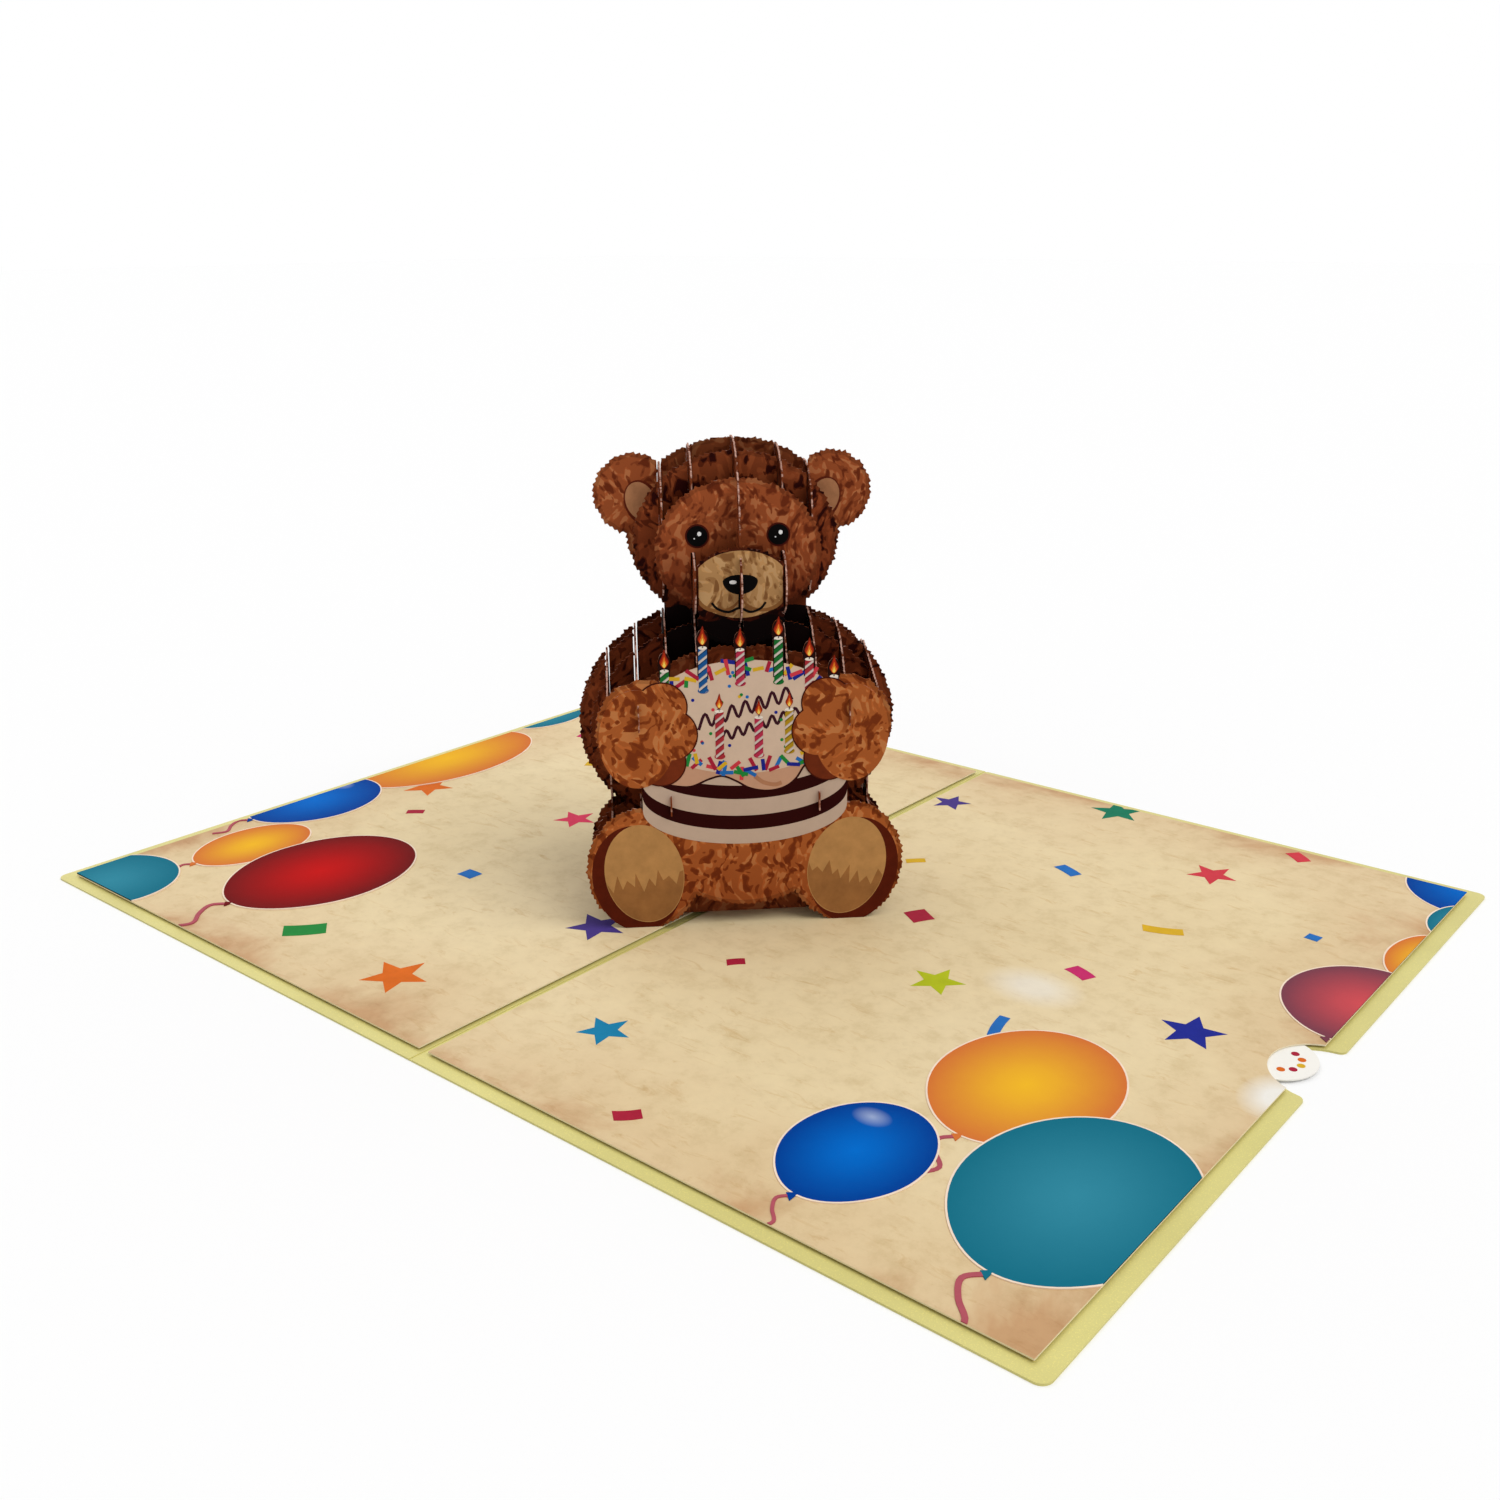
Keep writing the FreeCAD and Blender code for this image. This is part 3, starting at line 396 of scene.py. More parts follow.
class Print:
    """Flat printed shapes on one sheet, joined in one piece. Sizes are in millimetres."""

    def __init__(self, name, plane, limits=None):
        self.name, self.plane, self.limits = name, plane, limits
        self.mesh = bmesh.new()
        self.materials = []

    def finish_shape(self, verts, layer, material):
        """Clips a flat shape to the sheet, thickens it and gives it its ink."""
        faces = list({f for v in verts for f in v.link_faces})
        if self.limits:
            for axis, low, high in self.limits:
                for sign, limit in ((1.0, high), (-1.0, low)):
                    normal = Vector([sign if i == axis else 0.0 for i in range(3)])
                    point = Vector([limit * MM if i == axis else 0.0 for i in range(3)])
                    geometry = faces + list({e for f in faces for e in f.edges}) + \
                        list({v for f in faces for v in f.verts})
                    cut = bmesh.ops.bisect_plane(self.mesh, geom=geometry, plane_co=point,
                                                 plane_no=normal, clear_outer=True)
                    faces = [f for f in cut["geom"] if isinstance(f, bmesh.types.BMFace)
                             and f.is_valid]
        for face in faces:
            face.normal_update()
            if face.normal.z > 0:
                face.normal_flip()
        if material not in self.materials:
            self.materials.append(material)
        index = self.materials.index(material)
        grown = bmesh.ops.extrude_face_region(self.mesh, geom=faces, use_keep_orig=True)
        lifted = [v for v in grown["geom"] if isinstance(v, bmesh.types.BMVert)]
        bmesh.ops.translate(self.mesh, verts=lifted,
                            vec=(0.0, 0.0, SINK + (layer + 1.0) * INK))
        everything = {f for v in lifted for f in v.link_faces} | set(faces)
        for face in everything:
            face.material_index = index

    def disc(self, centre, half, material, layer=0, turn=0.0, segments=40, taper=0.0):
        """An ellipse; taper narrows its lower half, as a balloon narrows to its knot."""
        made = bmesh.ops.create_circle(self.mesh, cap_ends=True, radius=1.0, segments=segments)
        for vert in made["verts"]:
            if vert.co.y < 0.0:
                vert.co.x *= 1.0 - taper * vert.co.y ** 2
        self.put(made["verts"], centre, half, turn)
        self.finish_shape(made["verts"], layer, material)

    def star(self, centre, radius, material, layer=0, turn=0.0):
        made = bmesh.ops.create_circle(self.mesh, cap_ends=True, radius=1.0, segments=10)
        for vert in made["verts"][1::2]:
            vert.co *= 0.44
        self.put(made["verts"], centre, (radius, radius), turn)
        self.finish_shape(made["verts"], layer, material)

    def ribbon(self, centre, length, width, material, layer=0, turn=0.0, bend=0.0):
        """A short strip, bent by the share of its length given."""
        made = bmesh.ops.create_grid(self.mesh, x_segments=8, y_segments=1, size=0.5)
        for vert in made["verts"]:
            vert.co.x += 0.25 * (vert.co.y * bend)
            vert.co.y = vert.co.y * width / length + bend * (0.25 - vert.co.x ** 2)
        self.put(made["verts"], centre, (length, length), turn)
        self.finish_shape(made["verts"], layer, material)

    def path(self, points, width, material, layer=0):
        """A drawn line of even width through a few points, rounded between them."""
        smooth = rounded(points)
        made = bmesh.ops.create_grid(self.mesh, x_segments=len(smooth) - 1, y_segments=1,
                                     size=0.5)
        count = len(smooth)
        for vert in made["verts"]:
            step = round((vert.co.x + 0.5) * (count - 1))
            before, after = smooth[max(step - 1, 0)], smooth[min(step + 1, count - 1)]
            along = (after - before).normalized()
            side = Vector((-along.y, along.x)) * (width if vert.co.y > 0 else -width) / 2.0
            spot = (smooth[step] + side) * MM
            vert.co = Vector((spot.x, spot.y, 0.0))
        self.lower(made["verts"])
        self.finish_shape(made["verts"], layer, material)

    def outline(self, points, material, layer=0, smooth=True):
        """A closed shape through a few points."""
        ring = rounded(list(points) + [points[0]], closed=True) if smooth else \
            [Vector(p) for p in points]
        verts = [self.mesh.verts.new((p.x * MM, p.y * MM, 0.0)) for p in ring]
        self.mesh.faces.new(verts)
        self.lower(verts)
        self.finish_shape(verts, layer, material)

    def put(self, verts, centre, half, turn):
        place = Matrix.Translation((centre[0] * MM, centre[1] * MM, 0.0)) @ \
            Matrix.Rotation(turn, 4, "Z") @ Matrix.Diagonal((half[0] * MM, half[1] * MM, 1.0, 1.0))
        bmesh.ops.transform(self.mesh, matrix=place, verts=verts)
        self.lower(verts)

    def lower(self, verts):
        for vert in verts:
            vert.co.z = -SINK

    def finish(self, body):
        bmesh.ops.transform(self.mesh, matrix=self.plane, verts=self.mesh.verts)
        piece = new_object(self.name, self.mesh, self.materials)
        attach(piece, body)


def rounded(points, closed=False, steps=5):
    """Points on a smooth line through the points given (a Catmull-Rom curve)."""
    points = [Vector(p) for p in points]
    if closed:
        points = [points[-2]] + points + [points[1]]
    else:
        points = [2 * points[0] - points[1]] + points + [2 * points[-1] - points[-2]]
    line = []
    for p0, p1, p2, p3 in zip(points, points[1:], points[2:], points[3:]):
        for i in range(steps):
            s = i / steps
            line.append(0.5 * (2 * p1 + (p2 - p0) * s + (2 * p0 - 5 * p1 + 4 * p2 - p3) * s ** 2
                               + (3 * p1 - p0 - 3 * p2 + p3) * s ** 3))
    if not closed:
        line.append(points[-2])
    return line


def page_plane():
    return Matrix.Translation((0.0, 0.0, PAGE_TOP))


def slice_plane(node):
    """Plane on the front of a face slice: x across from the spine slice, y up from the page."""
    front = max(v.co.dot(TOWARDS) for v in NODES[node].data.vertices)
    place = ACROSS * MIDDLE + TOWARDS * front + UP * PAGE_TOP
    return Matrix.Translation(place) @ Matrix((ACROSS, UP, TOWARDS)).transposed().to_4x4()


def dress(node, material):
    data = NODES[node].data
    data.materials.clear()
    data.materials.append(material)


# Tufts cut in the edges of a slice

def outer_edges(node, direction):
    """Corner to corner steps round the front of a slice, in runs that leave out its slots."""
    mesh = bmesh.new()
    mesh.from_mesh(NODES[node].data)
    bmesh.ops.remove_doubles(mesh, verts=mesh.verts, dist=0.001 * MM)
    onward = {}
    for face in mesh.faces:
        face.normal_update()
        if face.normal.dot(direction) < 0.9:
            continue
        for loop in face.loops:
            sharp = [f for f in loop.edge.link_faces if f.normal.dot(direction) < 0.9]
            if sharp:
                onward[loop.vert] = loop.link_loop_next.vert
    runs = []
    while onward:
        first = next(iter(onward))
        ring = [first]
        while ring[-1] in onward:
            ring.append(onward.pop(ring[-1]))
        points = [vert.co.copy() for vert in ring]
        steps = list(zip(points, points[1:]))
        turn = sum((a - points[0]).cross(b - points[0]).dot(direction) for a, b in steps)
        if turn < 0.0:
            continue
        straight = [min(abs(b.z - a.z), Vector((b.x - a.x, b.y - a.y)).length) < 0.002 * MM
                    for a, b in steps]
        shift = straight.index(True) if True in straight else 0
        run = []
        for (a, b), plain in zip(steps[shift:] + steps[:shift], straight[shift:] + straight[:shift]):
            if plain:
                runs.append(run)
                run = []
            else:
                run = run or [a]
                run.append(b)
        runs.append(run)
    mesh.free()
    return [run for run in runs if len(run) > 1]


def spread(run, step):
    """Points at even steps along a run, each with the direction of the run there."""
    lengths = [0.0]
    for a, b in zip(run, run[1:]):
        lengths.append(lengths[-1] + (b - a).length)
    count = max(2, round(lengths[-1] / step))
    index = 0
    for i in range(count + 1):
        at = lengths[-1] * i / count
        while index < len(run) - 2 and lengths[index + 1] < at:
            index += 1
        along = run[index + 1] - run[index]
        yield run[index] + along * ((at - lengths[index]) / along.length), along.normalized()


def fringe(node, direction, hair, dice, material, tufts_below=1.0):
    """A band of fine tufts along the edges of a slice, as thick as its paper."""
    band = bmesh.new()
    top = CAD_BOX[1][2] - 0.05 * MM
    for run in outer_edges(node, direction):
        before = None
        samples = list(spread(run, TUFT_STEP))
        for number, (spot, along) in enumerate(samples):
            out = along.cross(direction)
            inner = spot - out * FRINGE_BAND
            tip = 0.0
            if 0 < number < len(samples) - 1 and spot.z < tufts_below:
                tip = hair * (dice.uniform(0.6, 1.1) if number % 2 else dice.uniform(-0.3, 0.1))
            lean = -along * math.copysign(0.5 * max(tip, 0.0), along.z)
            outer = spot + out * tip + lean
            outer.z = min(max(outer.z, PAGE_TOP + 0.05 * MM), top)
            pair = [band.verts.new(inner), band.verts.new(outer)]
            if before:
                band.faces.new((before[0], before[1], pair[1], pair[0]))
            before = pair
    bmesh.ops.translate(band, verts=band.verts, vec=direction * FRINGE_LIFT)
    grown = bmesh.ops.extrude_face_region(band, geom=band.faces[:], use_keep_orig=True)
    back = [v for v in grown["geom"] if isinstance(v, bmesh.types.BMVert)]
    standing = [v.co.dot(direction) for v in NODES[node].data.vertices if v.co.z > PAGE_TOP + MM]
    paper = max(standing) - min(standing)
    bmesh.ops.translate(band, verts=back, vec=-direction * (paper + 2.0 * FRINGE_LIFT))
    piece = new_object(node + "_fringe", band, [material])
    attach(piece, "card")


# What is printed on the pages: page, x and y of the middle and sizes in mm, and the colour.
# Stars and ribbons have a turn in degrees too, and ribbons end with a bend.

INKS = {
    "green": (20, 118, 88), "purple": (72, 54, 130), "red": (206, 60, 72),
    "navy": (30, 40, 140), "lime": (178, 188, 30), "sky": (26, 126, 168),
    "orange": (218, 106, 32), "pink": (222, 62, 96), "blue": (38, 108, 184),
    "wine": (168, 34, 58), "yellow": (214, 170, 40), "magenta": (196, 44, 104),
    "leaf": (34, 132, 58), "cord": (176, 84, 96),
}
STARS = [
    ("right", 43.0, 91.1, 6.8, "green", 29), ("right", 6.4, 70.4, 5.2, "purple", 10),
    ("right", 78.3, 68.8, 5.8, "red", -17), ("right", 105.6, -1.5, 6.4, "navy", 12),
    ("right", 57.9, -14.3, 5.8, "lime", 6), ("right", 20.8, -69.4, 5.4, "sky", -8),
    ("left", -108.8, -6.8, 6.8, "orange", 12), ("left", -27.3, -80.2, 7.2, "orange", 0),
    ("left", -12.2, -39.0, 6.8, "purple", -8), ("left", -61.1, 1.5, 5.6, "pink", -6),
]
RIBBONS = [
    ("right", 89.8, 91.0, 5.5, 3.4, "red", -39, 0.1),
    ("right", 51.4, 50.2, 6.3, 3.0, "blue", -24, 0.1),
    ("right", 108.4, 51.2, 2.9, 2.7, "blue", -5, 0.0),
    ("right", 82.4, 34.9, 8.4, 3.0, "yellow", 22, -0.2),
    ("right", 20.8, 33.0, 4.6, 2.2, "yellow", 45, 0.1),
    ("right", 38.4, 8.4, 5.0, 5.4, "wine", 60, 0.1),
    ("right", 78.3, 6.4, 5.6, 3.3, "magenta", -22, 0.15),
    ("right", 76.9, -22.2, 8.0, 2.2, "blue", 104, 0.15),
    ("right", 21.7, -33.0, 3.8, 2.6, "wine", 48, 0.2),
    ("right", 44.0, -87.1, 4.9, 2.9, "wine", 46, -0.2),
    ("left", -96.8, -20.7, 4.4, 2.4, "wine", 40, 0.1),
    ("left", -59.7, -79.2, 9.0, 5.0, "leaf", 48, -0.15),
    ("left", -55.1, -37.9, 4.4, 3.7, "blue", 0, 0.1),
    ("left", -107.0, 49.5, 4.4, 3.2, "magenta", 20, 0.1),
    ("left", -87.5, 33.5, 4.2, 3.2, "yellow", 30, 0.1),
]
BALLOON_TONES = {
    "blue": ((0, 106, 200), (0, 60, 144)), "orange": ((240, 184, 40), (210, 114, 54)),
    "teal": ((48, 134, 156), (20, 108, 130)), "red": ((196, 16, 16), (108, 18, 20)),
    "wine": ((206, 78, 84), (116, 62, 76)),
}
BALLOONS = [
    ("right", 127.4, 97.0, 14.0, 15.0, "blue"), ("right", 129.5, 77.3, 5.5, 9.5, "teal"),
    ("right", 129.0, 55.6, 6.5, 12.0, "orange"), ("right", 126.5, 28.5, 14.8, 16.5, "wine"),
    ("right", 91.3, -36.9, 16.2, 20.2, "orange"), ("right", 80.1, -71.4, 12.1, 15.3, "blue"),
    ("right", 113.5, -60.1, 18.5, 23.6, "teal"),
    ("left", -129.0, 55.6, 8.0, 14.0, "teal"), ("left", -122.8, 10.9, 15.8, 28.0, "orange"),
    ("left", -124.0, -32.0, 14.2, 18.0, "blue"), ("left", -109.8, -59.6, 10.2, 14.8, "orange"),
    ("left", -83.2, -58.6, 18.3, 23.1, "red"), ("left", -116.3, -92.0, 14.5, 14.5, "teal"),
]


def page_limits(node):
    low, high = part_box(node)
    return [(0, low.x / MM, high.x / MM), (1, low.y / MM, high.y / MM)]


def print_confetti(page, inks):
    confetti = Print(page + "_page_confetti", page_plane(), page_limits(page + "_page"))
    for side, x, y, radius, colour, turn in STARS:
        if side == page:
            confetti.star((x, y), radius, inks[colour], 0, math.radians(turn))
    for side, x, y, length, width, colour, turn, bend in RIBBONS:
        if side == page:
            confetti.ribbon((x, y), length, width, inks[colour], 1, math.radians(turn), bend)
    confetti.finish("card")


def print_balloons(page, inks):
    pale = ink("balloon_outline", rgb(244, 222, 200))
    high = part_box("right_page")[1]
    balloons = Print(page + "_page_balloons", page_plane(), page_limits(page + "_page"))
    for number, (side, x, y, across, tall, tone) in enumerate(BALLOONS):
        if side != page:
            continue
        middle, rim = (rgb(*t) for t in BALLOON_TONES[tone])
        name = "%s_balloon_%d" % (tone, number)
        own = balloon_ink(name, middle, rim, (x * MM, y * MM), (across * MM, tall * MM),
                          0.4 if tone == "blue" else 0.0)
        knot = (x - 0.05 * across, y - tall - 0.6)
        sway = 0.14 * tall
        curl = [knot] + [(knot[0] + aside * sway, knot[1] - down * sway) for aside, down in
                         ((-0.7, 0.9), (-0.1, 2.1), (0.9, 3.2), (0.3, 4.4))]
        layer = 2 + 0.5 * number
        if math.hypot(high.x / MM - knot[0], knot[1]) > NOTCH_CLEAR:
            balloons.path(curl, 0.04 * tall, inks["cord"], layer)
        for grow, colour, height in ((0.35, pale, 0.1), (0.0, own, 0.2)):
            balloons.disc((x, y), (across + grow, tall + grow), colour, layer + height,
                          segments=72, taper=0.12)
        balloons.disc(knot, (1.5, 1.1), own, layer + 0.15, segments=3, turn=math.radians(90))
    balloons.finish("card")


# Operators

class CardOperator:
    bl_options = {"REGISTER"}


class POPUP_OT_papers(CardOperator, Operator):
    """Gives the cover, the pages and the strips between them their paper"""
    bl_idname = "popup.papers"
    bl_label = "Cover and pages"

    GLOWS = (((126.5 * MM, -13.3 * MM), (6.6 * MM, 8.6 * MM), 0.9),
             ((74.0 * MM, -4.5 * MM), (11.0 * MM, 8.0 * MM), 0.5))

    def execute(self, context):
        paper = context.scene.card_paper
        dress("cover", pearl_card("pearl_card", paper.cover, paper.cover_outside))
        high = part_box("right_page")[1]
        for node, glows in (("left_page", ()), ("right_page", self.GLOWS)):
            dress(node, parchment(node + "_parchment", paper, high.x, high.y, glows))
        for node in ("left_page_strips", "right_page_strips"):
            dress(node, plain_paper(node + "_paper", list(paper.white)))
        return {"FINISHED"}


class POPUP_OT_page_print(CardOperator, Operator):
    """Prints stars, ribbons and balloons on the two pages"""
    bl_idname = "popup.page_print"
    bl_label = "Stars, ribbons and balloons"

    def execute(self, context):
        inks = {name: ink(name + "_ink", rgb(*tone)) for name, tone in INKS.items()}
        for page in ("left", "right"):
            print_confetti(page, inks)
            print_balloons(page, inks)
        return {"FINISHED"}


class POPUP_OT_message_card(CardOperator, Operator):
    """Gives the message card its white paper and the dots on its pull tab"""
    bl_idname = "popup.message_card"
    bl_label = "Message card"

    TAB_MIDDLE, RING, DOT = 6.4, 3.6, 0.75    # from the tab's edge, and radii, in mm

    def execute(self, context):
        white = list(context.scene.card_paper.white)
        dress("message_card", plain_paper("message_paper", white, 0.03))
        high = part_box("message_card")[1]
        plane = Matrix.Translation((0.0, 0.0, high.z))
        dots = Print("message_tab_dots", plane)
        edge = high.x / MM
        for number, tone in enumerate(("orange", "wine", "yellow", "orange", "wine")):
            angle = math.radians(-70 + 35 * number)
            spot = (edge - self.TAB_MIDDLE + self.RING * math.cos(angle),
                    self.RING * math.sin(angle))
            dots.disc(spot, (self.DOT, self.DOT),
                      ink(tone + "_dot_%d" % number, rgb(*INKS[tone])), segments=20)
        dots.finish("message")
        return {"FINISHED"}


class POPUP_OT_fur(CardOperator, Operator):
    """Prints the fur on all the slices of the bear"""
    bl_idname = "popup.fur"
    bl_label = "Fur"

    FLAMES_FROM = 54.5 * MM    # the front slice has only candles above this, and no tufts

    def execute(self, context):
        fur = context.scene.fur_print
        light, middle, deep, dark = (list(c) for c in (fur.light, fur.middle, fur.deep, fur.dark))
        soft = [0.5 * (a + b) for a, b in zip(middle, deep)]
        bright = [deep, soft, middle, light]
        # Darker copies of the fur tones for slices set back behind others: painted shade, partly the
        # print's own darker tone
        shaded_tones = [shade(dark, 0.9), shade(deep, 0.8), soft, middle]
        deep_shaded_tones = [shade(dark, 0.5), shade(dark, 0.8), shade(deep, 0.7), soft]
        # Painted light and shade by height on the face slice: near black low down, bright at the top
        head_painted_light = ((0.0, 0.1), (0.63, 0.12), (0.7, 0.5), (0.78, 0.9), (0.9, 1.08))
        warm = [self.tinted(deep, 1.3, 1.4, 1.1), self.tinted(deep, 1.65, 2.0, 1.4),
                self.tinted(middle, 1.26, 1.42, 1.15), self.tinted(light, 1.16, 1.26, 1.1)]
        # Each slice's tones and its painted light and shade by height
        own = {
            "front_slice": (warm, ((0.0, 0.7), (0.12, 0.85), (0.2, 1.0))),
            "belly_slice": (bright, ((0.0, 0.8), (0.45, 0.8), (0.56, 0.6))),
            "chest_slice": (shaded_tones, ((0.0, 0.7), (0.45, 0.9), (0.56, 0.5))),
            "muzzle_slice": (deep_shaded_tones, ((0.0, 0.2), (0.66, 0.3), (0.8, 0.9))),
            "face_slice": (bright, head_painted_light),
            "brow_slice": (shaded_tones, ((0.0, 0.7), (0.5, 0.9), (0.62, 0.5), (0.73, 0.7), (0.9, 1.1))),
            "ear_slice": (bright, ((0.0, 0.6), (0.5, 0.7), (0.6, 0.4), (0.73, 0.55), (0.8, 1.05))),
            "back_slice": (bright, ((0.0, 0.9), (0.5, 1.1), (0.6, 0.9), (0.75, 1.0), (1.0, 1.1))),
        }
        # Ear slice darker near the bear's middle: partly painted shade, partly the print's own tone
        ears = ((0.0, 0.62), (12.5, 0.66), (15.5, 1.0), (40.0, 1.0))
        # Painted shade on the side slices, darker at the neck
        sides = ((0.0, 0.9), (0.5, 0.9), (0.6, 0.6), (0.75, 0.9))
        dice = random.Random(11)
        for node, (tones, lights) in own.items():
            self.clothe(node, tones, TOWARDS, fur, lights, ears if node == "ear_slice" else None,
                        0.15, dice)
        for node in SIDE_SLICES:
            self.clothe(node, shaded_tones, ACROSS, fur, sides, None, 0.75, dice)
        return {"FINISHED"}

    def tinted(self, colour, *factors):
        return [value * factor for value, factor in zip(colour, factors)] + [1.0]

    def clothe(self, node, tones, direction, fur, lights, painted_shade_across, bare, dice):
        neck = node not in ("front_slice", "belly_slice", "back_slice")
        dress(node, fur_print(node + "_fur", tones, direction, fur, lights, painted_shade_across, neck=neck))
        rim = [shade(tone, 0.72) for tone in tones]
        fringe(node, direction, fur.hair, dice,
               fur_print(node + "_rim", rim, direction, fur, lights, painted_shade_across, bare, neck),
               self.FLAMES_FROM if node == "front_slice" else 1.0)


class POPUP_OT_cake(CardOperator, Operator):
    """Prints the cake, its candles and its sprinkles on the front slice"""
    bl_idname = "popup.cake"
    bl_label = "Cake and candles"

    HALF_WIDTH, TOP_MIDDLE, TOP_RISE, BAND_RISE = 21.4, 46.2, 12.2, 8.2
    BANDS = (
        (40.0, 31.3, "cream"), (31.3, 28.3, "sponge"), (28.3, 24.6, "cream"),
        (24.6, 21.5, "sponge"), (21.5, 18.3, "cream"),
    )
    DRIPS = ((-21.2, 43.0), (-20.6, 36.5), (-18.0, 32.6), (-15.3, 31.9), (-11.4, 31.5), (-7.6, 33.0),
             (-4.75, 33.6), (-1.9, 32.4), (1.0, 30.7), (4.8, 30.0), (8.2, 30.7), (10.6, 32.5),
             (12.5, 35.4), (14.6, 36.4), (17.4, 34.8), (20.2, 37.2), (21.2, 43.0))
    BACK_CANDLES = (
        (-16.2, 52.9, 60.4, "leaf"), (-8.4, 52.2, 65.0, "blue"), (-0.8, 53.5, 64.4, "pink"),
        (7.0, 53.6, 66.6, "leaf"), (13.3, 51.2, 62.0, "red"), (18.4, 51.9, 58.2, "blue"),
    )
    FRONT_CANDLES = (
        (-5.2, 37.9, 50.9, "red"), (2.9, 37.9, 49.3, "pink"), (9.2, 38.6, 50.8, "yellow"),
    )
    SPRINKLE_INKS = ("red", "blue", "leaf", "yellow", "navy", "wine")

    def execute(self, context):
        cake = context.scene.cake_print
        inks = {part: ink("cake_" + part, list(getattr(cake, part)), 0.05)
                for part in ("icing", "drip", "sponge", "cream")}
        print_ = Print("cake_print", slice_plane("front_slice"))
        for number, (top, bottom, part) in enumerate(self.BANDS):
            print_.outline(self.band(top, bottom), inks[part], 0.1 * number, smooth=False)
        print_.outline(list(self.DRIPS), inks["drip"], 1.0)
        print_.path(self.DRIPS[1:-1], 0.42, inks["sponge"], 1.3)
        print_.disc((0.0, self.TOP_MIDDLE), (self.HALF_WIDTH, self.TOP_RISE), inks["icing"], 1.6,
                    segments=80)
        print_.path(((2.0, 33.3), (3.8, 31.9), (6.2, 31.3), (7.6, 31.7)), 0.9,
                    ink("drip_shadow", rgb(176, 124, 92)), 1.2)
        self.piping(print_)
        self.sprinkle(print_, cake.sprinkles)
        print_.finish("card")
        candles = Print("cake_candles", slice_plane("front_slice"))
        for row, lit in ((self.BACK_CANDLES, 3.3), (self.FRONT_CANDLES, 2.7)):
            for across, foot, tip, tone in row:
                self.candle(candles, across, foot, tip, tone, lit)
        candles.finish("card")
        return {"FINISHED"}

    def band(self, top, bottom):
        """One cake layer: two arcs that rise to the cake's sides."""
        turns = [math.radians(180 + 180 * i / 36) for i in range(37)]
        under = [(self.HALF_WIDTH * math.cos(t), bottom + self.BAND_RISE * (1 + math.sin(t)))
                 for t in turns]
        over = [(x, y + top - bottom) for x, y in reversed(under)]
        return under + over

    def piping(self, print_):
        """Two rows of piped icing, in waves, where a greeting would be."""
        piped = ink("piped_icing", rgb(58, 22, 34))
        slope = math.tan(math.radians(17))
        for start, end, height, swing in ((-9.5, 9.8, 48.2, 1.5), (-5.0, 11.5, 43.6, 1.1)):
            count = 15
            waves = []
            for i in range(count):
                across = start + (end - start) * i / (count - 1)
                waves.append((across, height + slope * across + (swing if i % 2 else -swing)))
            print_.path(waves, 0.62, piped, 2.0)

    def sprinkle(self, print_, count):
        """Sprinkles along the far and near rim of the cake's top, and dots between them."""
        dice = random.Random(7)
        inks = [ink("sprinkle_" + tone, rgb(*INKS[tone])) for tone in self.SPRINKLE_INKS]
        for side, spread in ((1, (22, 158)), (-1, (215, 325))):
            for number in range(count):
                angle = math.radians(dice.uniform(*spread))
                share = dice.uniform(0.84, 1.0)
                spot = (self.HALF_WIDTH * share * math.cos(angle),
                        self.TOP_MIDDLE + self.TOP_RISE * share * math.sin(angle))
                print_.ribbon(spot, dice.uniform(2.2, 3.4), 0.8, dice.choice(inks),
                              2.0 + 0.02 * number, dice.uniform(0.0, math.pi))
        for number in range(24):
            angle, share = dice.uniform(0.0, 2 * math.pi), dice.uniform(0.3, 0.85)
            spot = (self.HALF_WIDTH * share * math.cos(angle),
                    self.TOP_MIDDLE + self.TOP_RISE * share * math.sin(angle))
            print_.disc(spot, (0.36, 0.36), dice.choice(inks), 2.1, segments=12)

    def candle(self, print_, across, foot, tip, tone, lit):
        """A candle with a spiral stripe, its wick and its flame; above the cake top, a near-black
        painted shadow round it.
        """
        half = 0.88
        top = tip - lit - 0.5
        candle_shadow_ink = ink("candle_dark_%g" % across, rgb(34, 12, 8))
        # Above the cake top, a near-black painted shadow outline round the candle and its flame
        if tip > self.TOP_MIDDLE + self.TOP_RISE - 0.5:
            print_.disc((across, tip - 2.6), (1.32, 2.62), candle_shadow_ink, 2.4, segments=24)
            print_.path(((across, self.TOP_MIDDLE + 8.4), (across, top)), 2.2, candle_shadow_ink, 2.3)
        stripes = striped_ink("candle_%s_%g" % (tone, across), shade(rgb(*INKS[tone]), 0.62),
                              rgb(206, 192, 184), 1.9 * MM)
        turns = [math.radians(180 + 180 * i / 8) for i in range(9)]
        body = [(across + half * math.cos(t), foot + 0.5 * math.sin(t)) for t in turns]
        body += [(across + half, top), (across - half, top)]
        print_.outline(body, stripes, 3.0, smooth=False)
        print_.disc((across, foot), (half + 0.25, 0.62), ink("foot_%s_%g" % (tone, across),
                    shade(rgb(*INKS[tone]), 0.6)), 2.8, segments=20)
        print_.disc((across, top), (half, 0.35), ink("wax_%g" % across, rgb(238, 228, 216)), 3.2,
                    segments=20)
        print_.path(((across, top), (across + 0.1, top + 0.9)), 0.28,
                    ink("wick_%g" % across, rgb(40, 20, 20)), 3.2)
        for scale, tint, layer in ((1.2, (132, 34, 16), 3.3), (1.0, (178, 50, 22), 3.4),
                                   (0.7, (226, 124, 40), 3.6), (0.4, (246, 214, 96), 3.8)):
            self.flame(print_, across, top + 0.8 - 0.2 * scale, lit * scale, tint, layer)

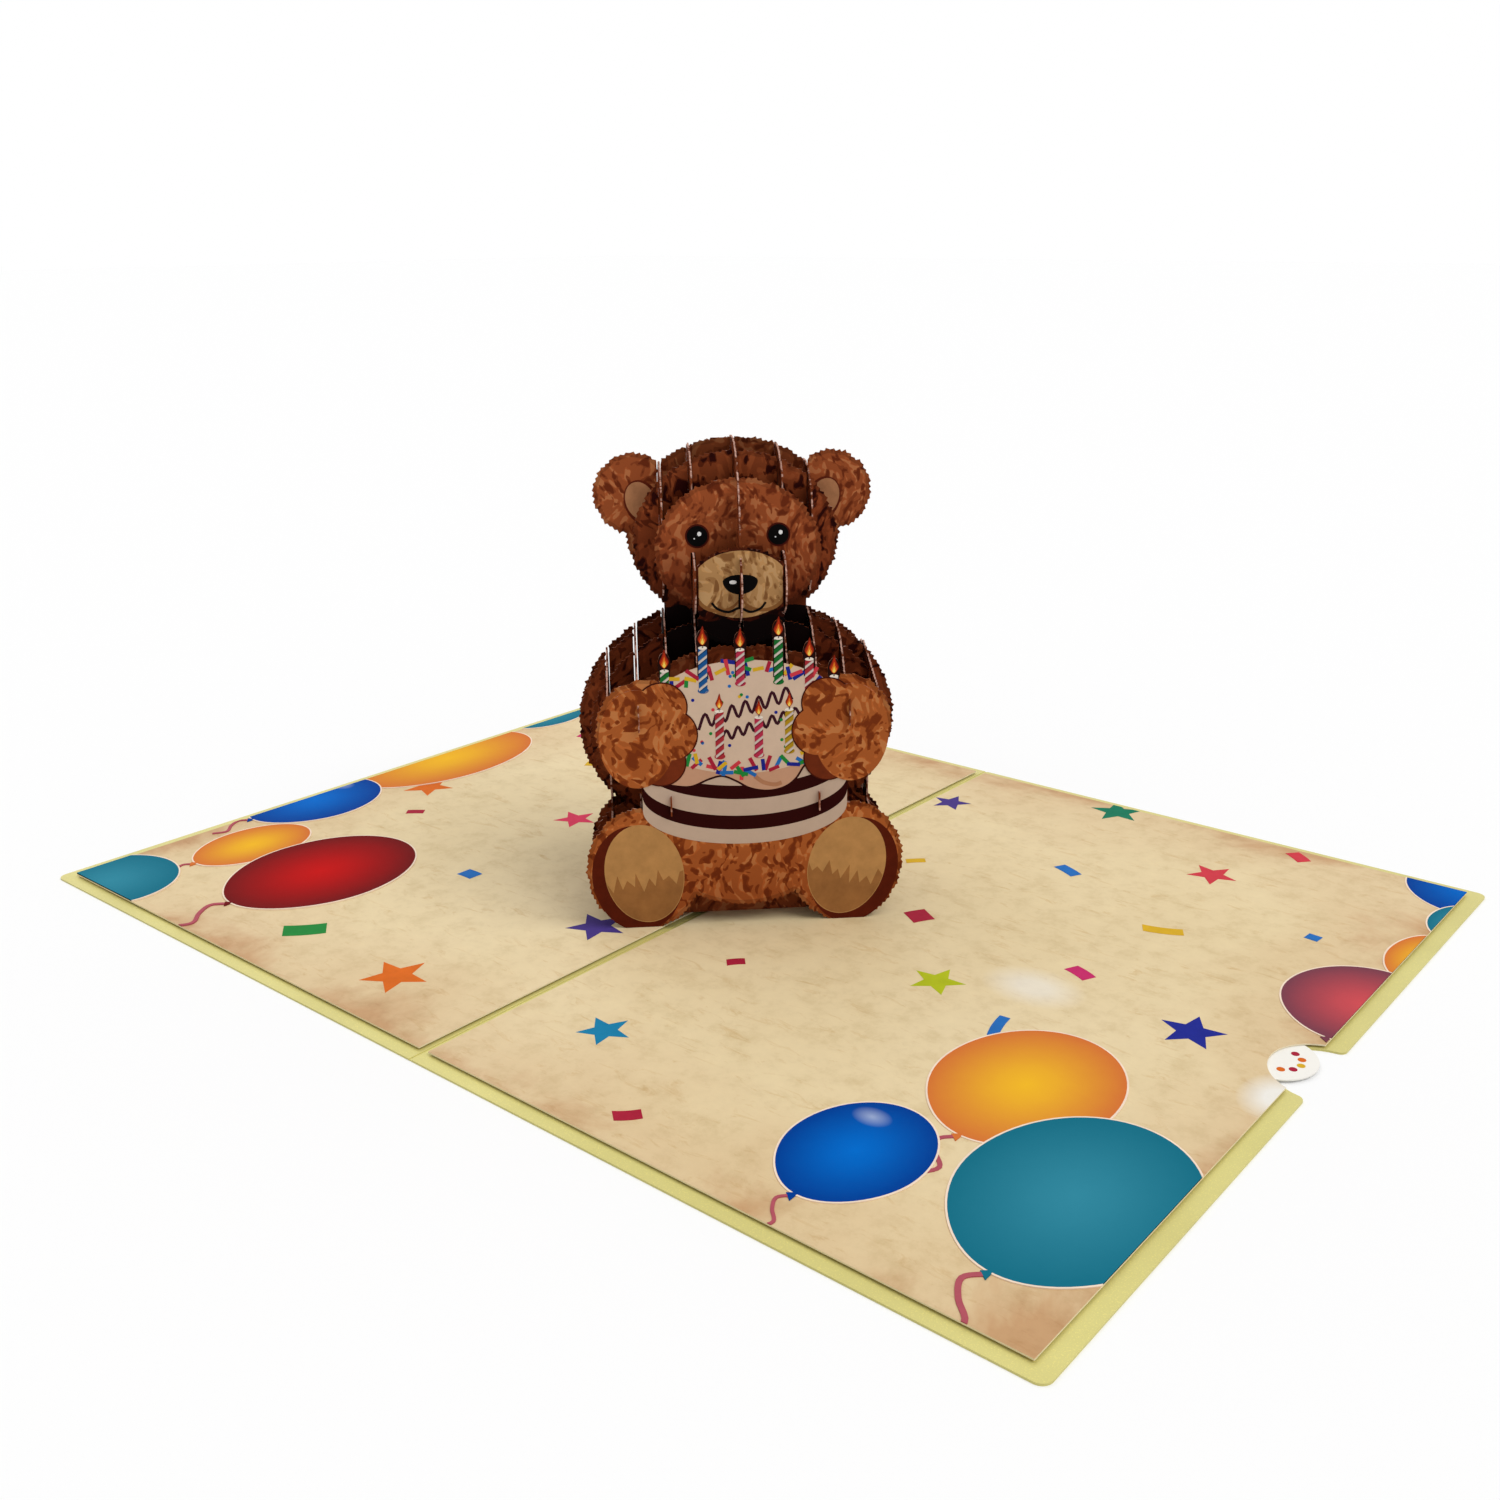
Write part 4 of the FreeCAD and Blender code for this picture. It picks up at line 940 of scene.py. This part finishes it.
    def flame(self, print_, across, foot, tall, tint, layer):
        wide = 0.24 * tall
        shape = ((across, foot), (across + wide, foot + 0.32 * tall),
                 (across + 0.45 * wide, foot + 0.66 * tall), (across + 0.08 * wide, foot + tall),
                 (across - 0.5 * wide, foot + 0.62 * tall), (across - wide, foot + 0.3 * tall))
        name = "flame_%d_%d_%g" % (tint[0], tint[1], across)
        print_.outline(shape, ink(name, rgb(*tint)), layer)


class POPUP_OT_paws(CardOperator, Operator):
    """Prints the paws over the cake, and the soles of the feet"""
    bl_idname = "popup.paws"
    bl_label = "Paws and soles"

    FINGERS = ((17.0, 48.9, 5.1), (15.3, 42.9, 5.4), (17.3, 37.0, 4.9))

    def execute(self, context):
        fur = NODES["front_slice"].data.materials[0]
        line = ink("paw_line", rgb(66, 18, 8))
        low_fur = ink("paw_shadow", rgb(112, 46, 22), 0.25)
        paws = Print("paw_print", slice_plane("front_slice"))
        for side in (-1.0, 1.0):
            for number, (across, height, radius) in enumerate(self.FINGERS):
                spot = (side * across, height)
                paws.disc(spot, (radius + 0.28, radius + 0.28), line, 4.4, segments=48)
                paws.disc(spot, (radius, radius), low_fur if number == 2 else fur,
                          4.8 + 0.1 * (number == 1), segments=48)
            paws.disc((side * 22.2, 42.2), (7.8, 10.6), fur, 5.0, segments=60)
        paws.finish("card")
        soles = Print("sole_print", slice_plane("front_slice"))
        inks = (ink("sole_pale", rgb(186, 138, 84), 0.16), ink("sole_deep", rgb(156, 106, 60), 0.2),
                ink("sole_rim", rgb(88, 28, 12), 0.2))
        for side in (-1.0, 1.0):
            self.sole(soles, side, inks)
        soles.finish("card")
        return {"FINISHED"}

    def sole(self, soles, side, inks):
        """A sole: a pale oval that leans out, deeper below a ragged line, on a dark crescent."""
        pale, deep, rim = inks
        lean = math.radians(9.0 if side < 0.0 else 13.0)
        middle, half = Vector((side * 21.5, 12.3)), (8.3, 11.2)
        down_out = Vector((side * 1.5, -1.1))
        soles.disc(middle + down_out, (half[0] + 1.1, half[1] + 0.9), rim, 0.0, turn=-side * lean,
                   segments=60)
        soles.disc(middle, half, pale, 0.6, turn=-side * lean, segments=60)
        dice = random.Random(5 + int(side))
        turns = [math.radians(184 + 172 * i / 24) for i in range(25)]
        lower = [(half[0] * 0.985 * math.cos(t), half[1] * 0.985 * math.sin(t)) for t in turns]
        teeth = 15
        width = lower[-1][0] - lower[0][0]
        for i in range(1, teeth):
            height = -1.6 + (1.3 if i % 2 else -1.7) + dice.uniform(-1.3, 1.3)
            lower.append((lower[24][0] - width * (i + dice.uniform(-0.3, 0.3)) / teeth, height))
        tilt = Matrix.Rotation(-side * lean, 2)
        soles.outline([middle + tilt @ Vector(point) for point in lower], deep, 0.9, smooth=False)


class POPUP_OT_face(CardOperator, Operator):
    """Prints eyes, muzzle, nose, mouth and the insides of the ears"""
    bl_idname = "popup.face"
    bl_label = "Face"

    def execute(self, context):
        black, white = ink("eye_black", rgb(8, 6, 6), 0.3), ink("eye_glint", rgb(250, 250, 248))
        beige = fur_print("muzzle_beige", [rgb(132, 88, 50), rgb(156, 112, 68), rgb(178, 134, 86),
                                           rgb(194, 152, 104)], TOWARDS, context.scene.fur_print,
                          ((0.0, 1.0), (1.0, 1.0)))
        tan = ink("muzzle_tan", rgb(140, 92, 50), 0.2)
        eyes = Print("eye_print", slice_plane("face_slice"))
        for side in (-1.0, 1.0):
            spot = (side * 8.4, 81.5)
            eyes.disc(spot, (2.5, 2.5), ink("eye_rim_%d" % side, rgb(72, 18, 8)), 0.0)
            eyes.disc(spot, (2.15, 2.15), black, 0.4)
            eyes.disc((spot[0] + 0.45, spot[1] + 0.45), (0.42, 0.46), white, 0.8, segments=16)
            eyes.disc((spot[0] - 0.6, spot[1] - 0.5), (0.15, 0.15), white, 0.8, segments=10)
        eyes.finish("card")
        muzzle = Print("muzzle_print", slice_plane("muzzle_slice"),
                       [(0, -8.6, 8.6), (1, 0.0, 200.0)])
        muzzle.disc((0.0, 72.6), (10.0, 7.0), beige, 0.0, segments=60)
        for side in (-1.0, 1.0):
            muzzle.disc((side * 4.6, 70.4), (4.6, 3.6), tan, 0.3, segments=40)
            muzzle.disc((side * 4.4, 71.2), (4.4, 3.7), beige, 0.5, segments=40)
        nose = ((-3.7, 73.3), (-2.2, 74.4), (0.0, 74.6), (2.2, 74.4), (3.5, 73.4), (2.6, 71.5),
                (0.0, 70.5), (-2.6, 71.3))
        muzzle.outline(nose, black, 1.0)
        muzzle.disc((-1.6, 73.1), (0.75, 0.4), white, 1.3, segments=20)
        smile = ((-6.0, 68.9), (-4.8, 67.6), (-2.5, 66.9), (-0.3, 67.7), (1.9, 66.8), (4.0, 67.5),
                 (5.1, 68.8))
        muzzle.path(smile, 0.5, black, 1.0)
        muzzle.path(((-0.25, 70.7), (-0.3, 67.5)), 0.5, black, 1.1)
        muzzle.finish("card")
        ears = Print("ear_print", slice_plane("ear_slice"))
        for side in (-1.0, 1.0):
            rim = ink("ear_rim_%d" % side, rgb(96, 34, 16), 0.25)
            ears.disc((side * 19.3, 86.5), (3.7, 4.9), rim, 0.0, turn=-side * 0.35)
            inside = ink("ear_beige_%d" % side, rgb(176, 122, 84), 0.25)
            ears.disc((side * 19.6, 86.8), (3.1, 4.2), inside, 0.4, turn=-side * 0.35)
        ears.finish("card")
        return {"FINISHED"}


class POPUP_OT_stage(CardOperator, Operator):
    """Sets the white table, the soft studio light and the camera"""
    bl_idname = "popup.stage"
    bl_label = "Stage"

    def execute(self, context):
        self.table()
        self.world(context.scene)
        self.lamps(context.scene)
        self.camera(context.scene)
        context.scene.view_settings.view_transform = "Standard"
        return {"FINISHED"}

    def table(self):
        mesh = bmesh.new()
        bmesh.ops.create_grid(mesh, x_segments=1, y_segments=1, size=6.0)
        data = bpy.data.meshes.new("table")
        mesh.to_mesh(data)
        mesh.free()
        table = bpy.data.objects.new("table", data)
        bpy.context.scene.collection.objects.link(table)
        top = Nodes("white_table")
        top.shader.inputs["Base Color"].default_value = rgb(238, 238, 238)
        top.shader.inputs["Roughness"].default_value = 0.9
        top.shader.inputs["Specular IOR Level"].default_value = 0.0
        rays = top.add("ShaderNodeLightPath")
        top.shader.inputs["Emission Color"].default_value = (1.0, 1.0, 1.0, 1.0)
        top.link(top.math("MULTIPLY", rays.outputs["Is Camera Ray"], 0.1), "Emission Strength")
        data.materials.append(top.material)

    def world(self, scene):
        """Plain light all round; what the camera and mirrors see of it is white."""
        world = bpy.data.worlds.new("studio")
        scene.world = world
        world.use_nodes = True
        tree = world.node_tree
        tree.nodes.clear()
        rays = add_node(tree, "ShaderNodeLightPath").outputs
        seen = add_node(tree, "ShaderNodeMath", {0: rays["Is Camera Ray"],
                                                 1: rays["Is Glossy Ray"]}, operation="MAXIMUM")
        level = add_node(tree, "ShaderNodeMapRange", {"Value": seen.outputs[0], "To Min": 0.5,
                                                      "To Max": 1.0})
        sky = add_node(tree, "ShaderNodeBackground", {"Color": (1.0, 1.0, 1.0, 1.0),
                                                      "Strength": level.outputs[0]})
        add_node(tree, "ShaderNodeOutputWorld", {"Surface": sky.outputs[0]})

    def towards(self, az, el):
        """The direction from the card to an azimuth and an elevation."""
        return Vector((math.sin(az) * math.cos(el), -math.cos(az) * math.cos(el), math.sin(el)))

    def lamps(self, scene):
        """A broad key light high on the right, and a weaker one from behind on the left."""
        for name, strength, angle, azimuth, height in (
                ("key", 1.5, 42.0, 98.0, 56.0), ("back", 0.6, 60.0, 250.0, 52.0)):
            lamp = bpy.data.lights.new(name, "SUN")
            lamp.energy, lamp.angle = strength, math.radians(angle)
            holder = bpy.data.objects.new(name, lamp)
            source = self.towards(math.radians(azimuth), math.radians(height))
            holder.rotation_euler = source.to_track_quat("Z", "Y").to_euler()
            holder.location = source
            scene.collection.objects.link(holder)

    def camera(self, scene):
        stage = scene.card_stage
        data = bpy.data.cameras.new("camera")
        data.sensor_width, data.lens = 36.0, stage.lens
        data.shift_x, data.shift_y = -0.0107, -0.0173
        data.clip_start, data.clip_end = 0.01, 20.0
        roll = stage.roll
        back = self.towards(stage.azimuth, stage.elevation)
        right = (-back).cross(UP).normalized()
        up = right.cross(-back)
        right, up = (math.cos(roll) * right + math.sin(roll) * up,
                     math.cos(roll) * up - math.sin(roll) * right)
        camera = bpy.data.objects.new("camera", data)
        camera.matrix_world = Matrix.Translation(stage.camera_place) @ \
            Matrix((right, up, back)).transposed().to_4x4()
        scene.collection.objects.link(camera)
        scene.camera = camera


class POPUP_PT_panel(Panel):
    """Lists the steps that dress the card"""
    bl_label = "Pop up card"
    bl_idname = "POPUP_PT_panel"
    bl_space_type = "VIEW_3D"
    bl_region_type = "UI"
    bl_category = "Pop up card"

    def draw(self, context):
        for group in ("card_paper", "fur_print", "cake_print", "card_stage"):
            settings = getattr(context.scene, group)
            box = self.layout.box()
            for name in settings.__annotations__:
                box.prop(settings, name)
        for operator in STEPS:
            self.layout.operator(operator.bl_idname)


STEPS = (POPUP_OT_papers, POPUP_OT_page_print, POPUP_OT_message_card, POPUP_OT_fur, POPUP_OT_cake,
         POPUP_OT_paws, POPUP_OT_face, POPUP_OT_stage)
GROUPS = {"card_paper": CardPaper, "fur_print": FurPrint, "cake_print": CakePrint,
          "card_stage": StageSettings}


def register():
    for group in GROUPS.values():
        bpy.utils.register_class(group)
    for name, group in GROUPS.items():
        setattr(bpy.types.Scene, name, PointerProperty(type=group))
    for operator in STEPS:
        bpy.utils.register_class(operator)
    bpy.utils.register_class(POPUP_PT_panel)


def unregister():
    bpy.utils.unregister_class(POPUP_PT_panel)
    for operator in reversed(STEPS):
        bpy.utils.unregister_class(operator)
    for name, group in GROUPS.items():
        delattr(bpy.types.Scene, name)
        bpy.utils.unregister_class(group)


def main():
    register()
    for operator in STEPS:
        family, name = operator.bl_idname.split(".")
        getattr(getattr(bpy.ops, family), name)()


if __name__ == "__main__":
    main()
